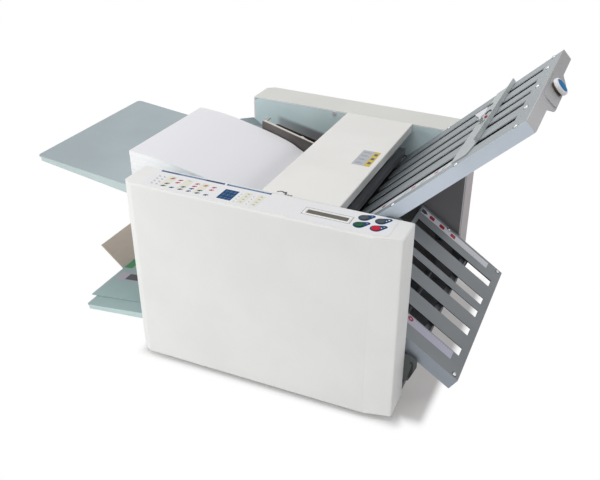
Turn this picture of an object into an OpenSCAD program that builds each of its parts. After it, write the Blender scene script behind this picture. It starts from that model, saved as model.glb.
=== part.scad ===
// Desk-top paper folding machine. Sheets leave the hopper on the left, turn round a
// drive roller with three pinch rollers, buckle in two fold tables on the right and
// come out folded in the tray below the feed table.
// X runs from the feed end to the fold tables, Y from front to back and Z up.
// The origin is on the desk, under the middle foot. Lengths are in millimetres.

/* [Body] */
// Length of the front cover
body_len = 476; // [450:1:500]
// Width over the front and rear covers
body_w = 510; // [500:1:530]
// Height of the cover tops above the desk
body_top = 350; // [346:1:360]
// Depth of the front cover
front_d = 66; // [60:1:72]
// Depth of the rear cover
rear_d = 70; // [68:1:80]
// Wall of the moulded covers
cover_wall = 3; // [2.5:0.1:3.5]
// Radius of the covers' outer edges
edge_r = 3; // [2:0.5:4]
// How much shorter the rear cover is at the feed end
rear_set_l = 10; // [6:1:16]
// How much shorter the rear cover is at the folding end
rear_set_r = 4; // [2:1:10]
// Height of the rubber feet
foot_h = 10; // [8:1:14]
// Radius of the rubber feet
foot_r = 14; // [10:1:18]
// Thickness of the two side frames
frame_t = 4; // [3:0.5:5]
// Thickness of the base pan
pan_t = 2; // [1.5:0.5:3]

/* [Lid] */
// Left edge of the lid from the body's middle
lid_l = -20; // [-30:1:-12]
// Length of the lid
lid_len = 136; // [130:1:138]
// Depth of the lid's right-hand lip
lid_lip = 16; // [12:1:20]
// Thickness of the lid
lid_t = 2.5; // [2:0.5:3]

/* [Hopper and feed table] */
// Thickness of the feed table and other sheet parts
sheet_t = 1.5; // [1:0.1:2]
// Distance of the feed table's free end from the body's middle
feed_reach = 478; // [440:1:500]
// Distance of the feed table's front edge from the front side frame
feed_margin_f = 14; // [10:1:20]
// Distance of its rear edge from the rear side frame
feed_margin_r = 48; // [40:1:60]
// Height at which the feed table meets the hopper floor
kink_h = 284; // [280:1:290]
// Distance of that joint from the body's middle
kink_x = 178; // [170:1:190]
// Slope of the feed table
feed_slope = 6; // [4:0.5:7]
// Slope of the hopper floor
floor_slope = 9.5; // [8:0.5:10.5]
// Depth of the feed table's rim at its free end
rim_d = 8; // [6:1:12]
// Radius of the feed tyres
tyre_r = 20; // [18:0.5:21]
// Width of each feed tyre
tyre_w = 22; // [16:1:26]
// How far the tyres stand through the hopper floor
tyre_proud = 1.5; // [1:0.25:2]
// Room between the front side frame and the sheets
paper_margin = 41; // [37:1:45]

/* [Paper] */
// Width of the sheets in the hopper
paper_w = 216; // [200:1:220]
// Length of the sheets in the hopper
paper_len = 279; // [260:1:285]
// Height of the paper stack at its free end
stack_h = 56; // [30:1:58]
// Height of the paper stack at the gate
stack_gate_h = 38; // [20:1:40]

/* [Fold rollers] */
// Diameter of the fold rollers
roller_d = 36; // [34:0.5:36]
// Drive roller's axis from the body's middle
core_x = 64.5; // [63:0.5:66]
// Drive roller's axis above the desk
core_h = 236.5; // [235:0.5:238]
// Direction from the drive roller to the first pinch roller
pinch1_ang = 100; // [96:1:104]
// Direction from the drive roller to the second pinch roller
pinch2_ang = 5; // [2:1:8]
// Direction from the drive roller to the third pinch roller
pinch3_ang = -85; // [-88:1:-82]
// Radius of the roller shafts
shaft_r = 5; // [4.5:0.1:5.5]
// Teeth on each roller gear
gear_teeth = 24; // [20:2:28]
// Width of the roller gears
gear_w = 9; // [7:0.5:10]
// Radius of the two exit rollers' wheels
exit_r = 16; // [14:0.5:17]

/* [Upper fold table] */
// Slope of the upper fold table
up_ang = 43.5; // [42:0.5:45]
// Height of its top face above the desk, over the body's end
up_h = 404.8; // [400:0.2:408]
// Length above the body's end
up_out = 190; // [180:1:200]
// Length below the body's end
up_in = 178; // [170:1:182]
// Depth of its side rails
up_rail = 21; // [18:1:24]
// Clearance between each fold table and the side frames
table_gap = 9; // [7:1:12]
// Width of the upper table's slots
up_slot_w = 22; // [18:1:24]
// Diameter of the fine adjustment knob
knob_d = 30; // [26:1:34]
// Lead of the adjustment screw, one turn
screw_lead = 10; // [5:1:12]

/* [Lower fold table] */
// Slope of the lower fold table
lo_ang = 33.5; // [32:0.5:35]
// Height of its top face above the desk, over the body's end
lo_h = 128.2; // [126:0.2:130]
// Length beyond the body's end
lo_out = 110; // [100:1:118]
// Length inside the body's end
lo_in = 102; // [98:1:108]
// Depth of its side rails
lo_rail = 25; // [22:1:27]
// Width of the lower table's slots
lo_slot_w = 22; // [18:0.5:24]
// Gap for the paper between the two plates of a fold table
pocket = 4; // [3.5:0.5:5]

/* [Exit tray] */
// Distance of the tray's free end from the body's middle
tray_reach = 412; // [390:1:430]
// Height of the exit tray's free end above the desk
tray_h = 14; // [12:0.5:15]
// Slope of the exit tray
tray_slope = 7; // [6:0.5:7.5]
// Length of the inclined stop plate
stop_len = 66; // [50:1:80]
// Slope of the stop plate
stop_ang = 43; // [38:1:50]

/* [Control panel] */
// Diameter of the round keys
key_d = 14; // [12:0.5:16]
// Travel of the round keys
key_travel = 0.8; // [0.4:0.1:1]
// Distance between the two columns of keys
key_pitch_x = 27; // [24:0.5:30]
// Distance between the two rows of keys
key_pitch_y = 23; // [20:0.5:25]
// Length of the display's bezel
display_len = 77; // [70:1:84]
// Width of the display's bezel
display_w = 20; // [18:1:24]
// Thickness of the printed overlay
overlay_t = 0.6; // [0.4:0.1:1]

/* [Fits] */
// Radial clearance of a shaft in its bearing
run_gap = 0.05; // [0.03:0.01:0.08]
// Clearance between parts that move past each other
move_gap = 0.4; // [0.3:0.1:0.6]
// Clearance between fixed parts
fit_gap = 0.3; // [0.2:0.1:0.5]

/* [Hidden] */
$fn = 48;

// Planes of the body
xl = -body_len / 2;
xr = body_len / 2;
yf = -body_w / 2;
yb = body_w / 2;
bay_f = yf + front_d;
bay_r = yb - rear_d;
bay_mid = (bay_f + bay_r) / 2;
pan_top = foot_h + pan_t;
cover_foot = pan_top;
rear_l = xl + rear_set_l;
rear_r = xr - rear_set_r;
frame_low = cover_foot + cover_wall + fit_gap;
frame_high = body_top - cover_wall - fit_gap;

// Front cover's plan: cut-off corners at the feed end and at the folding end
cut_l = [18, 12];
cut_r = [46, 10];
rear_cut = [20, 14];

// Hopper
path_low = bay_f + paper_margin;
path_y = path_low + paper_w / 2;
path_high = path_y + paper_w / 2;
feed_y0 = bay_f + feed_margin_f;
feed_y1 = bay_r - feed_margin_r;
gate_x = -7;
floor_end = 12;
floor_l = xl - 24;
flange_h = 12;

function table_top(x) = kink_h - (x + kink_x) * tan(feed_slope);
function floor_top(x) = kink_h - sheet_t - (x + kink_x) * tan(floor_slope);

// Roller train: the drive roller is number 2
feed_axis = [gate_x - 1, floor_top(gate_x - 1) + tyre_proud - tyre_r];
core = [core_x, core_h];
function around(a) = core + roller_d * [cos(a), sin(a)];
roller_axes = [around(pinch1_ang), core, around(pinch2_ang), around(pinch3_ang)];
roller_r = roller_d / 2 - move_gap / 2;
roller_end_gap = 10;
exit_axis = [-110, 96];
idler_r = exit_r * 0.75;
exit_lean = -100;
idler_axis = exit_axis + (exit_r + idler_r + move_gap) * [cos(exit_lean), sin(exit_lean)];
motor_axis = [-122, 188];
motor_r = 38;
motor_len = 120;
motor_shaft_r = 4;

// Drive planes behind the rear frame
gear_y = bay_r + frame_t + 7;
belt_w = 7;
belt_step = 10;
belt_t = 1.6;
feed_belt_y = gear_y + gear_w + 4;
motor_belt_y = feed_belt_y + belt_step;
exit_belt_y = motor_belt_y + belt_step;
pulley_r = 16;
main_pulley_r = 24;
motor_pulley_r = 12;
bearing_r = 11;
bearing_lip = 1.5;
bearing_len = frame_t + 2;

// Fold tables, measured along the slope from the body's end
table_y0 = bay_f + table_gap;
table_y1 = bay_r - table_gap;
slot_offsets = [-121, -54, 0, 54, 121];
rail_t = 1.5;
up_slot = [-166, 161];
lo_slot = [-94, 95];
lo_slot_offsets = [-111, -50, 9, 53, 119];
cap_t = 2;
boss_half = 60;
boss_t = 2;
boss_drop = 14;
screw_r = 4;
screw_n = -19;
screw_low = -150;
up_stop_u = 52;
up_stop_len = 38;
lo_stop_u = 30;
lo_view = 11;
knob_len = 12;

// Control panel
panel_top = body_top + overlay_t;
key_origin = [162.5, yf + 26];
key_r = key_d / 2;
key_proud = 1.6;
key_cap_low = body_top - cover_wall;
display_x = 109;
display_y = yf + 33.5;
window_margin = 3.5;
window = [display_len, display_w] / 2 - [window_margin, window_margin];
overlay_x = [-205, 214];
overlay_y = [yf + 6, bay_f - 3];
board_x = [60, 212];
board_y = [yf + 12, bay_f - 8];
board_top = key_cap_low - 11;
board_t = 1.6;

// Screws that hold the covers to the side frames: length and height
screw_spots = [[-48, body_top - 7], [-200, body_top - 45], [200, body_top - 45],
               [-200, cover_foot + 18], [200, cover_foot + 18], [0, cover_foot + 18]];
cover_boss_r = 6;
screw_shank_r = 2;
screw_head_r = 4;

// Colours
warm_white = [0.90, 0.89, 0.87];
blue_grey = [0.66, 0.72, 0.73];
table_grey = [0.70, 0.73, 0.75];
dark_grey = [0.25, 0.26, 0.28];
mid_grey = [0.46, 0.47, 0.49];
bare_metal = [0.62, 0.58, 0.56];
black = [0.08, 0.08, 0.09];

// ---- Outlines and placing ----

function unit(v) = v / norm(v);

// Arc that rounds the corner at b between a and c
function corner(a, b, c, r, n = 4) =
  let (u = unit(a - b), w = unit(c - b), half = acos(u * w) / 2,
       mid = b + unit(u + w) * r / sin(half),
       from = b + u * r / tan(half) - mid, to = b + w * r / tan(half) - mid,
       start = atan2(from.y, from.x),
       sweep = (atan2(to.y, to.x) - start + 540) % 360 - 180)
  [for (i = [0:n]) mid + r * [cos(start + sweep * i / n), sin(start + sweep * i / n)]];

// Outline whose points carry a corner radius as their third value
function rounded(pts) = [
  for (i = [0:len(pts) - 1])
    let (b = pts[i], a = pts[(i + len(pts) - 1) % len(pts)], c = pts[(i + 1) % len(pts)])
    each b[2] > 0 ? corner([a.x, a.y], [b.x, b.y], [c.x, c.y], b[2]) : [[b.x, b.y]]
];

// Extrudes an X-Z outline from y0 to y1
module across(y0, y1) {
  translate([0, y1, 0]) rotate([90, 0, 0]) linear_extrude(y1 - y0) children();
}

// Extrudes a Y-Z outline from x0 to x1
module along(x0, x1) {
  translate([x0, 0, 0]) rotate([90, 0, 90]) linear_extrude(x1 - x0) children();
}

// Box between two corners
module block(low, high) {
  translate(low) cube(high - low);
}

// Round bar parallel to Y
module rod(at, y0, y1, r) {
  translate([at[0], y0, at[1]]) rotate([-90, 0, 0]) cylinder(r = r, h = y1 - y0);
}

// Sheet that follows a line in the X-Z plane, with its thickness below it
module strip(p, q, y0, y1, t) {
  n = unit([q.y - p.y, p.x - q.x]) * t;
  across(y0, y1) polygon([p, q, q + n, p + n]);
}

// Moves children from a fold table's own axes to the machine's
module upper_place() {
  translate([xr, 0, up_h]) rotate([0, -up_ang, 0]) children();
}

module lower_place() {
  translate([xr, 0, lo_h]) rotate([0, lo_ang, 0]) children();
}

// ---- Base and frames ----

module base_pan() {
  pan_l = -170;
  wall_h = 10;
  color(dark_grey) difference() {
    union() {
      block([pan_l, bay_f, foot_h], [rear_r, bay_r, pan_top]);
      for (y = [bay_f, bay_r - sheet_t])
        block([pan_l, y, foot_h], [rear_r, y + sheet_t, pan_top + wall_h]);
      block([rear_r - sheet_t, bay_f, foot_h], [rear_r, bay_r, pan_top + wall_h]);
    }
    for (i = [0:6])
      block([40 + i * 18, bay_mid - 60, 0], [46 + i * 18, bay_mid + 60, body_top]);
  }
}

module feet() {
  foot_x = 150;
  foot_y = 150;
  spots = [[0, 0], for (x = [-foot_x, foot_x], y = [-foot_y, foot_y]) [x, y]];
  color(black) for (p = spots) translate([p.x, p.y, 0]) cylinder(r = foot_r, h = foot_h);
}

// Side frame plate between the inner faces of its cover
module frame_plate(x0, x1, y0) {
  difference() {
    across(y0, y0 + frame_t) polygon(rounded([
      [x0, frame_low, 0], [x1, frame_low, 0], [x1, frame_high, 6], [x0, frame_high, 6]]));
    for (a = [each roller_axes, feed_axis, exit_axis, idler_axis])
      rod(a, y0 - 1, y0 + frame_t + 1, bearing_r);
    for (s = screw_spots)
      rod(s, y0 - 1, y0 + frame_t + 1, screw_shank_r + fit_gap);
    rod(lid_axis, y0 - 1, y0 + frame_t + 1, lid_pin_r + run_gap);
  }
}

module front_frame() {
  inset = cover_wall + fit_gap;
  color(blue_grey) frame_plate(xl + inset, xr - inset, bay_f - frame_t);
}

module rear_frame() {
  inset = cover_wall + fit_gap;
  color(blue_grey) difference() {
    frame_plate(rear_l + inset, rear_r - inset, bay_r);
    rod(motor_axis, bay_r - 1, bay_r + frame_t + 1, motor_shaft_r + 2);
  }
}

// Rods that tie the frames together and carry the guides between them
tie_r = 6;
chute_top = [42, 210];
chute_low = [-88, 92];
chute_dir = unit(chute_low - chute_top);
chute_under = [chute_dir.y, -chute_dir.x];
floor_dir = [cos(floor_slope), -sin(floor_slope)];
function under_floor(x) =
  [x, floor_top(x)] - (sheet_t + tie_r) * [sin(floor_slope), cos(floor_slope)];
function under_chute(s) =
  chute_top + chute_dir * s + chute_under * (sheet_t + tie_r);
tie_axes = [under_floor(-150), under_floor(-40), under_chute(28), under_chute(140), [190, 60]];

// Clearance holes for the tie bars in the flanges between the frames
module tie_holes() {
  for (a = tie_axes, y = [bay_f, bay_r - sheet_t]) rod(a, y - 1, y + sheet_t + 1, tie_r + run_gap);
}

module tie_bars() {
  color("silver") for (a = tie_axes) rod(a, bay_f, bay_r, tie_r);
}

// ---- Covers ----

// Plan of the front cover, drawn in by inset
function front_plan(inset) = rounded([
  [xl + inset, bay_f, 0], [xl + inset, yf + cut_l.y + inset / 2, edge_r],
  [xl + cut_l.x + inset / 2, yf + inset, edge_r * 2], [xr - cut_r.x - inset / 2, yf + inset, edge_r * 4],
  [xr - inset, yf + cut_r.y + inset / 2, edge_r], [xr - inset, bay_f, 0]]);

function rear_plan(inset) = rounded([
  [rear_l + inset, bay_r, 0], [rear_r - inset, bay_r, 0], [rear_r - inset, yb - inset, edge_r],
  [rear_l + rear_cut.x + inset / 2, yb - inset, edge_r * 2],
  [rear_l + inset, yb - rear_cut.y - inset / 2, edge_r]]);

// Front elevation between x0 and x1, with rounded top corners
function cover_front(x0, x1, inset) = rounded([
  [x0, cover_foot + inset, 0], [x1, cover_foot + inset, 0],
  [x1, body_top - inset, edge_r], [x0, body_top - inset, edge_r]]);

// End elevation, with a rounded edge above the outer face at y_out
function cover_end(y_in, y_out, inset) = rounded([
  [y_in, cover_foot + inset, 0], [y_in, body_top - inset, 0],
  [y_out, body_top - inset, edge_r], [y_out, cover_foot + inset, 0]]);

module cover_form(plan, x0, x1, y_in, y_out, inset) {
  intersection() {
    linear_extrude(body_top + 10) polygon(plan);
    across(yf - 5, yb + 5) polygon(cover_front(x0, x1, inset));
    along(xl - 5, xr + 5) polygon(cover_end(y_in, y_out, inset));
  }
}

module front_cover() {
  w = cover_wall;
  color(warm_white) difference() {
    union() {
      difference() {
        cover_form(front_plan(0), xl, xr, bay_f, yf, 0);
        cover_form([for (p = front_plan(w)) p.y < bay_f ? p : [p.x, bay_f + 1]],
                   xl + w, xr - w, bay_f + 1, yf + w, w);
      }
      for (s = screw_spots) {
        slant = max(0, s.x + cover_boss_r - xr + cut_r.x) * cut_r.y / cut_r.x;
        rod(s, yf + w / 2 + slant, bay_f - frame_t, cover_boss_r);
      }
      for (p = board_posts)
        translate([p.x, p.y, board_top]) cylinder(r = 4, h = key_cap_low - board_top + 1);
    }
    for (s = screw_spots) rod(s, bay_f - frame_t - 14, bay_f, screw_shank_r);
    for (k = [0:3])
      translate([key_at(k).x, key_at(k).y, board_top + 2]) cylinder(r = key_r + move_gap, h = 30);
    block([display_x - window.x, display_y - window.y, board_top + 2],
          [display_x + window.x, display_y + window.y, body_top + 1]);
  }
}

module rear_cover() {
  w = cover_wall;
  color(warm_white) difference() {
    union() {
      difference() {
        cover_form(rear_plan(0), rear_l, rear_r, bay_r, yb, 0);
        cover_form([for (p = rear_plan(w)) p.y > bay_r ? p : [p.x, bay_r - 1]],
                   rear_l + w, rear_r - w, bay_r - 1, yb - w, w);
      }
      for (s = screw_spots) rod(s, bay_r + frame_t, yb - w / 2, cover_boss_r);
    }
    for (s = screw_spots) rod(s, bay_r, bay_r + frame_t + 14, screw_shank_r);
    translate([0, yb - w - 1, 0]) {
      block([inlet_span[0] - fit_gap, 0, inlet_h - inlet_tall / 2 - fit_gap],
            [inlet_span[1] + fit_gap, w + 2, inlet_h + inlet_tall / 2 + fit_gap]);
      for (i = [0:7])
        block([40 + i * 14, 0, 40], [44 + i * 14, w + 2, 84]);
    }
  }
}

module cover_screws() {
  color("silver") for (s = screw_spots) {
    rod(s, bay_f, bay_f + 2, screw_head_r);
    rod(s, bay_f - frame_t - 12, bay_f, screw_shank_r);
    rod(s, bay_r - 2, bay_r, screw_head_r);
    rod(s, bay_r, bay_r + frame_t + 12, screw_shank_r);
  }
}

// ---- Control panel ----

// Keys, numbered left to right in two rows: back left, front left, back right, front right
function key_at(k) = key_origin + [floor(k / 2) * key_pitch_x, (1 - k % 2) * key_pitch_y];
board_posts = [for (x = [board_x[0] + 6, board_x[1] - 6], y = [board_y[0] + 6, board_y[1] - 6]) [x, y]];

module panel_overlay() {
  half = [display_len, display_w] / 2 + [fit_gap, fit_gap];
  color("white") translate([0, 0, body_top]) difference() {
    linear_extrude(overlay_t) polygon(rounded([
      [overlay_x[0], overlay_y[0], 3], [xr - cut_r.x, overlay_y[0], 0], [overlay_x[1], overlay_y[0] + 6, 3],
      [overlay_x[1], overlay_y[1], 3], [overlay_x[0], overlay_y[1], 3]]));
    for (k = [0:3])
      translate([key_at(k).x, key_at(k).y, -1]) cylinder(r = key_r + move_gap, h = 10);
    block([display_x - half.x, display_y - half.y, -1], [display_x + half.x, display_y + half.y, 5]);
  }
}

module display() {
  half = [display_len, display_w] / 2;
  frame_h = 1.2;
  color("whitesmoke") difference() {
    union() {
      translate([display_x, display_y, body_top]) linear_extrude(frame_h) polygon(rounded([
        [-half.x, -half.y, 1.5], [half.x, -half.y, 1.5], [half.x, half.y, 1.5], [-half.x, half.y, 1.5]]));
      block([display_x - window.x + fit_gap, display_y - window.y + fit_gap, board_top + 2],
            [display_x + window.x - fit_gap, display_y + window.y - fit_gap, body_top + 0.5]);
    }
    block([display_x - window.x + 2, display_y - window.y + 1.5, body_top - 0.6],
          [display_x + window.x - 2, display_y + window.y - 1.5, body_top + 5]);
  }
}

module control_board() {
  switch_h = key_stem_low - board_top - key_travel - 0.1;
  color("darkgreen") {
    block([board_x[0], board_y[0], board_top - board_t], [board_x[1], board_y[1], board_top]);
    for (k = [0:3])
      translate([key_at(k).x - 3, key_at(k).y - 3, board_top]) cube([6, 6, switch_h]);
  }
}

key_stem_low = board_top + 6;

// One round key: domed cap, a collar under the cover and a stem over its switch
module key(k) {
  p = key_at(k);
  cap_top = panel_top + key_proud;
  dome = key_proud * 0.5;
  translate([p.x, p.y, 0]) rotate_extrude() polygon([
    [0, key_stem_low], [2.5, key_stem_low], [2.5, key_cap_low - 4], [key_r, key_cap_low - 4],
    [key_r, cap_top - dome], [key_r * 0.9, cap_top - dome * 0.35], [key_r * 0.6, cap_top], [0, cap_top]]);
}

module key_grey_1() { color(mid_grey) key(0); }
module key_green() { color("seagreen") key(1); }
module key_grey_2() { color(mid_grey) key(2); }
module key_red() { color("crimson") key(3); }

// ---- Hopper and feed table ----

module hopper_floor() {
  p = [-kink_x, kink_h - sheet_t];
  q = [floor_end, floor_top(floor_end)];
  e = [floor_l, table_top(floor_l) - sheet_t];
  w = feed_tyre_gap;
  color(blue_grey) difference() {
    union() {
      across(bay_f, bay_r) polygon([
        e, p, q, q - [0, sheet_t], p - [0, sheet_t], e - [0, sheet_t]]);
      for (y = [bay_f, bay_r - sheet_t])
        across(y, y + sheet_t) polygon([
          e + [0, 3], e + [32, 12], p + [-30, 6], q + [0, 4], q - [0, flange_h], p - [0, flange_h],
          e - [0, flange_h]]);
    }
    for (y = tyre_spots)
      rod(feed_axis, y - tyre_w / 2 - w, y + tyre_w / 2 + w, tyre_r + w);
    tie_holes();
  }
}

feed_tyre_gap = 2;
tyre_spots = [for (i = [-1:1]) path_y + i * 56];

module feed_table() {
  e = [-feed_reach, table_top(-feed_reach)];
  k = [-kink_x, kink_h];
  r = 8;
  run = feed_reach - kink_x;
  color(blue_grey) {
    intersection() {
      across(feed_y0, feed_y1) polygon([
        e, k, k - [0, sheet_t], e - [0, sheet_t]]);
      linear_extrude(body_top) polygon(rounded([
        [-feed_reach, feed_y0, r], [0, feed_y0, 0], [0, feed_y1, 0], [-feed_reach, feed_y1, r]]));
    }
    // Folded rim, deeper towards the machine
    for (y = [feed_y0, feed_y1 - sheet_t])
      across(y, y + sheet_t) polygon([
        e + [r, -r * tan(feed_slope)], [floor_l - 2, table_top(floor_l - 2)],
        [floor_l - 2, table_top(floor_l - 2) - rim_d * 2.2], e + [r, -rim_d - r * tan(feed_slope)]]);
    across(feed_y0 + r, feed_y1 - r) polygon([
      e, e + [sheet_t, -sheet_t * tan(feed_slope)], e + [sheet_t, -rim_d], e + [0, -rim_d]]);
  }
}

// Gate that holds the stack back, hung from its bar, with a rubber retard pad over the tyres
separator_bar = [4, 322];
module separator() {
  gate_low = floor_top(gate_x) + 5;
  color(black) difference() {
    union() {
      block([gate_x + 2, bay_f + 1, gate_low], [gate_x + 3.5, bay_r - 1, separator_bar[1]]);
      block([gate_x + 3.5, path_y - 34, gate_low + 3], [11, path_y + 34, separator_bar[1] - 3]);
      rod(separator_bar, bay_f, bay_r, 8);
      block([gate_x + 3.5, path_y - 9, feed_axis[1] + tyre_r + move_gap], [8, path_y + 9, gate_low + 3]);
    }
    for (y = [path_y - 24, path_y + 16])
      block([gate_x + 8, y, gate_low + 12], [12, y + 8, gate_low + 44]);
  }
}

// Guide plates: into the first nip, and the chute from the last nip to the exit rollers
module paper_guides() {
  in_top = [floor_end + 10, floor_top(floor_end) - 1];
  in_low = roller_axes[1] + [-roller_r - 3, 12];
  y0 = bay_f;
  y1 = bay_r;
  color("silver") difference() {
    union() {
      strip(in_top, in_low, bay_f, bay_r, sheet_t);
      across(bay_f, bay_r) polygon([
        in_low, in_low - [sheet_t, 1], in_low - [sheet_t + 4, 26], in_low - [4, 26]]);
      strip(chute_top, chute_low, y0, y1, sheet_t);
      for (y = [y0, y1 - sheet_t])
        across(y, y + sheet_t) polygon([
          chute_top, chute_low, chute_low + [-chute_dir.y, chute_dir.x] * -8,
          chute_top + [-chute_dir.y, chute_dir.x] * -8]);
    }
    tie_holes();
  }
}

low_end = [xr - up_in * cos(up_ang), up_h - up_in * sin(up_ang)];

// Square bar below the lid, at the upper fold table's low end
module crossbar() {
  side = 12;
  at = low_end + [-side - 3, 2];
  color(dark_grey) difference() {
    block([at.x, bay_f, at.y], [at.x + side, bay_r, at.y + side]);
    block([at.x + 2, bay_f - 1, at.y + 2], [at.x + side - 2, bay_r + 1, at.y + side - 2]);
  }
}

// Channel beside the stack: plate at y_face, foot, and a second plate behind it. Heights are
// given at the left and right ends of each plate
module side_guide(y_face, out, depth, face_h, back_h, knob_up) {
  x0 = -150;
  x1 = gate_x - 2;
  rise = face_h[0];
  slope = (rise - face_h[1]) / (x1 - x0);
  function foot(x, up = 0) = [x, floor_top(x) + move_gap + up];
  function top(x) = foot(x, rise - (x - x0) * slope);
  function span(a, b) = [min(y_face + out * a, y_face + out * b), max(y_face + out * a, y_face + out * b)];
  module plate(a, b, outline) across(span(a, b)[0], span(a, b)[1]) polygon(rounded(outline));
  color(bare_metal) {
    plate(0, sheet_t, [[each foot(x0), 0], [each foot(x1), 0], [each top(x1), 2], [each top(x0), 6]]);
    plate(0, depth, [[each foot(x0 + 10), 0], [each foot(x1 - 4), 0], [each foot(x1 - 4, 2), 0],
                     [each foot(x0 + 10, 2), 0]]);
    plate(depth - sheet_t, depth, [
      [each foot(x0 + 14), 0], [each foot(x1 - 4), 0], [each foot(x1 - 4, back_h[1]), 3],
      [each foot(x0 + 14, back_h[0]), 8]]);
    rod(top(x0) + [6, -6], span(0, depth)[0], span(0, depth)[1], 1.2);
    // Post that the lock knob turns on
    translate([guide_knob_x, y_face + out * depth / 2, foot(guide_knob_x)[1] + 1]) {
      cylinder(r = 3.5, h = knob_up - 1);
      cylinder(r = guide_pin_r, h = knob_up + 5);
    }
  }
}

guide_gap = 2;
guide_depth_f = 16;
guide_depth_r = 24;
guide_knob_x = -72;
guide_knob_up_f = 22;
guide_knob_up_r = 52;
guide_pin_r = 2;

module side_guide_front() {
  side_guide(path_low - guide_gap, -1, guide_depth_f, [40, 28], [30, 24], guide_knob_up_f);
}

module side_guide_rear() {
  side_guide(path_high + guide_gap, 1, guide_depth_r, [77, 62], [66, 58], guide_knob_up_r);
}

module guide_knob(y, knob_up) {
  base = floor_top(guide_knob_x) + move_gap + knob_up;
  color("silver") translate([guide_knob_x, y, base + move_gap]) difference() {
    union() {
      cylinder(r = 5.5, h = 8);
      translate([0, 0, 8]) cylinder(r = 3.5, h = 2);
    }
    translate([0, 0, -1]) cylinder(r = guide_pin_r + run_gap, h = 7.5);
    for (a = [0:30:330]) rotate(a) translate([6, 0, -1]) cylinder(r = 0.9, h = 12, $fn = 16);
  }
}

module guide_knob_front() { guide_knob(path_low - guide_gap - guide_depth_f / 2, guide_knob_up_f); }
module guide_knob_rear() { guide_knob(path_high + guide_gap + guide_depth_r / 2, guide_knob_up_r); }

// Stack of sheets: flat below, drooping over the last third towards the gate
module paper_stack() {
  lean = 7;
  x1 = gate_x - 4 - lean;
  x0 = x1 - paper_len;
  lift = 0.3;
  low = [[x0, table_top(x0) + lift], [-kink_x, kink_h + lift], [x1, floor_top(x1) + sheet_t + lift]];
  left = low[0] + [lean, stack_h];
  right = low[2] + [lean, stack_gate_h];
  bend = [(x0 + x1) / 2 + 18, left.y - 14];
  steps = 14;
  top = [for (i = [0:steps]) let (t = i / steps)
    right * (1 - t) * (1 - t) + bend * 2 * t * (1 - t) + left * t * t];
  color("white") across(path_low, path_high) polygon(concat(low, top));
}

// ---- Rollers and drive ----

// Shaft through both side frames, ending at y_end
module shaft(at, y_end) {
  rod(at, bay_f - frame_t - 5, y_end, shaft_r);
}

module feed_roller() {
  color(black) {
    shaft(feed_axis, feed_belt_y + belt_w + 1);
    for (y = tyre_spots) rod(feed_axis, y - tyre_w / 2, y + tyre_w / 2, tyre_r);
    pulley(feed_axis, feed_belt_y, pulley_r);
  }
}

module fold_roller(i, y_end) {
  a = roller_axes[i];
  y0 = bay_f + roller_end_gap;
  y1 = bay_r - roller_end_gap;
  groove = 2;
  color(black) difference() {
    union() {
      shaft(a, y_end);
      rod(a, y0, y1, roller_r);
    }
    // Grooves that let the sheets peel off the rubber
    for (j = [1:5]) {
      y = y0 + j * (y1 - y0) / 6;
      translate([a[0], y - groove / 2, a[1]]) rotate([-90, 0, 0]) difference() {
        cylinder(r = roller_r + 1, h = groove);
        translate([0, 0, -1]) cylinder(r = roller_r - 1.5, h = groove + 2);
      }
    }
  }
}

module fold_roller_1() { fold_roller(0, gear_y + gear_w + 1); }
module fold_roller_2() { fold_roller(1, exit_belt_y + belt_w + 1); }
module fold_roller_3() { fold_roller(2, gear_y + gear_w + 1); }
module fold_roller_4() { fold_roller(3, gear_y + gear_w + 1); }

// Spur gear with straight-flanked teeth, one tooth at the angle phase
module spur_gear(at, phase) {
  m = roller_d / gear_teeth;
  pitch_r = roller_d / 2;
  tip_r = pitch_r + 0.85 * m;
  root_r = pitch_r - 1.2 * m;
  step = 360 / gear_teeth;
  function at_angle(r, a) = r * [cos(a), sin(a)];
  profile = [for (i = [0:gear_teeth - 1]) let (a = phase + i * step) each [
    at_angle(root_r, a - step * 0.33), at_angle(pitch_r, a - step * 0.215), at_angle(tip_r, a - step * 0.1),
    at_angle(tip_r, a + step * 0.1), at_angle(pitch_r, a + step * 0.215),
    at_angle(root_r, a + step * 0.33)]];
  translate([at[0], 0, at[1]]) across(gear_y, gear_y + gear_w) difference() {
    polygon(profile);
    circle(r = shaft_r);
    for (a = [0:72:288]) translate(10 * [cos(a), sin(a)]) circle(r = 2.5, $fn = 24);
  }
}

// Teeth of the driven gear stand between the drive gear's teeth on the line of centres
function meshed(ang) = 2 * ang + 180 - 180 / gear_teeth;

module roller_gear_1() { color("ivory") spur_gear(roller_axes[0], meshed(pinch1_ang)); }
module roller_gear_2() { color("ivory") spur_gear(roller_axes[1], 0); }
module roller_gear_3() { color("ivory") spur_gear(roller_axes[2], meshed(pinch2_ang)); }
module roller_gear_4() { color("ivory") spur_gear(roller_axes[3], meshed(pinch3_ang)); }

// Flanged belt pulley
module pulley(at, y, r, bore = 0) {
  translate([at[0], y, at[1]]) rotate([-90, 0, 0]) rotate_extrude() polygon([
    [bore, 0], [r + 1.5, 0], [r + 1.5, 0.8], [r, 1.2], [r, belt_w - 1.2], [r + 1.5, belt_w - 0.8],
    [r + 1.5, belt_w], [bore, belt_w]]);
}

module drive_pulleys() {
  color("silver") {
    pulley(core, feed_belt_y, pulley_r, shaft_r);
    pulley(core, motor_belt_y, main_pulley_r, shaft_r);
    pulley(core, exit_belt_y, pulley_r, shaft_r);
  }
}

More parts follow.
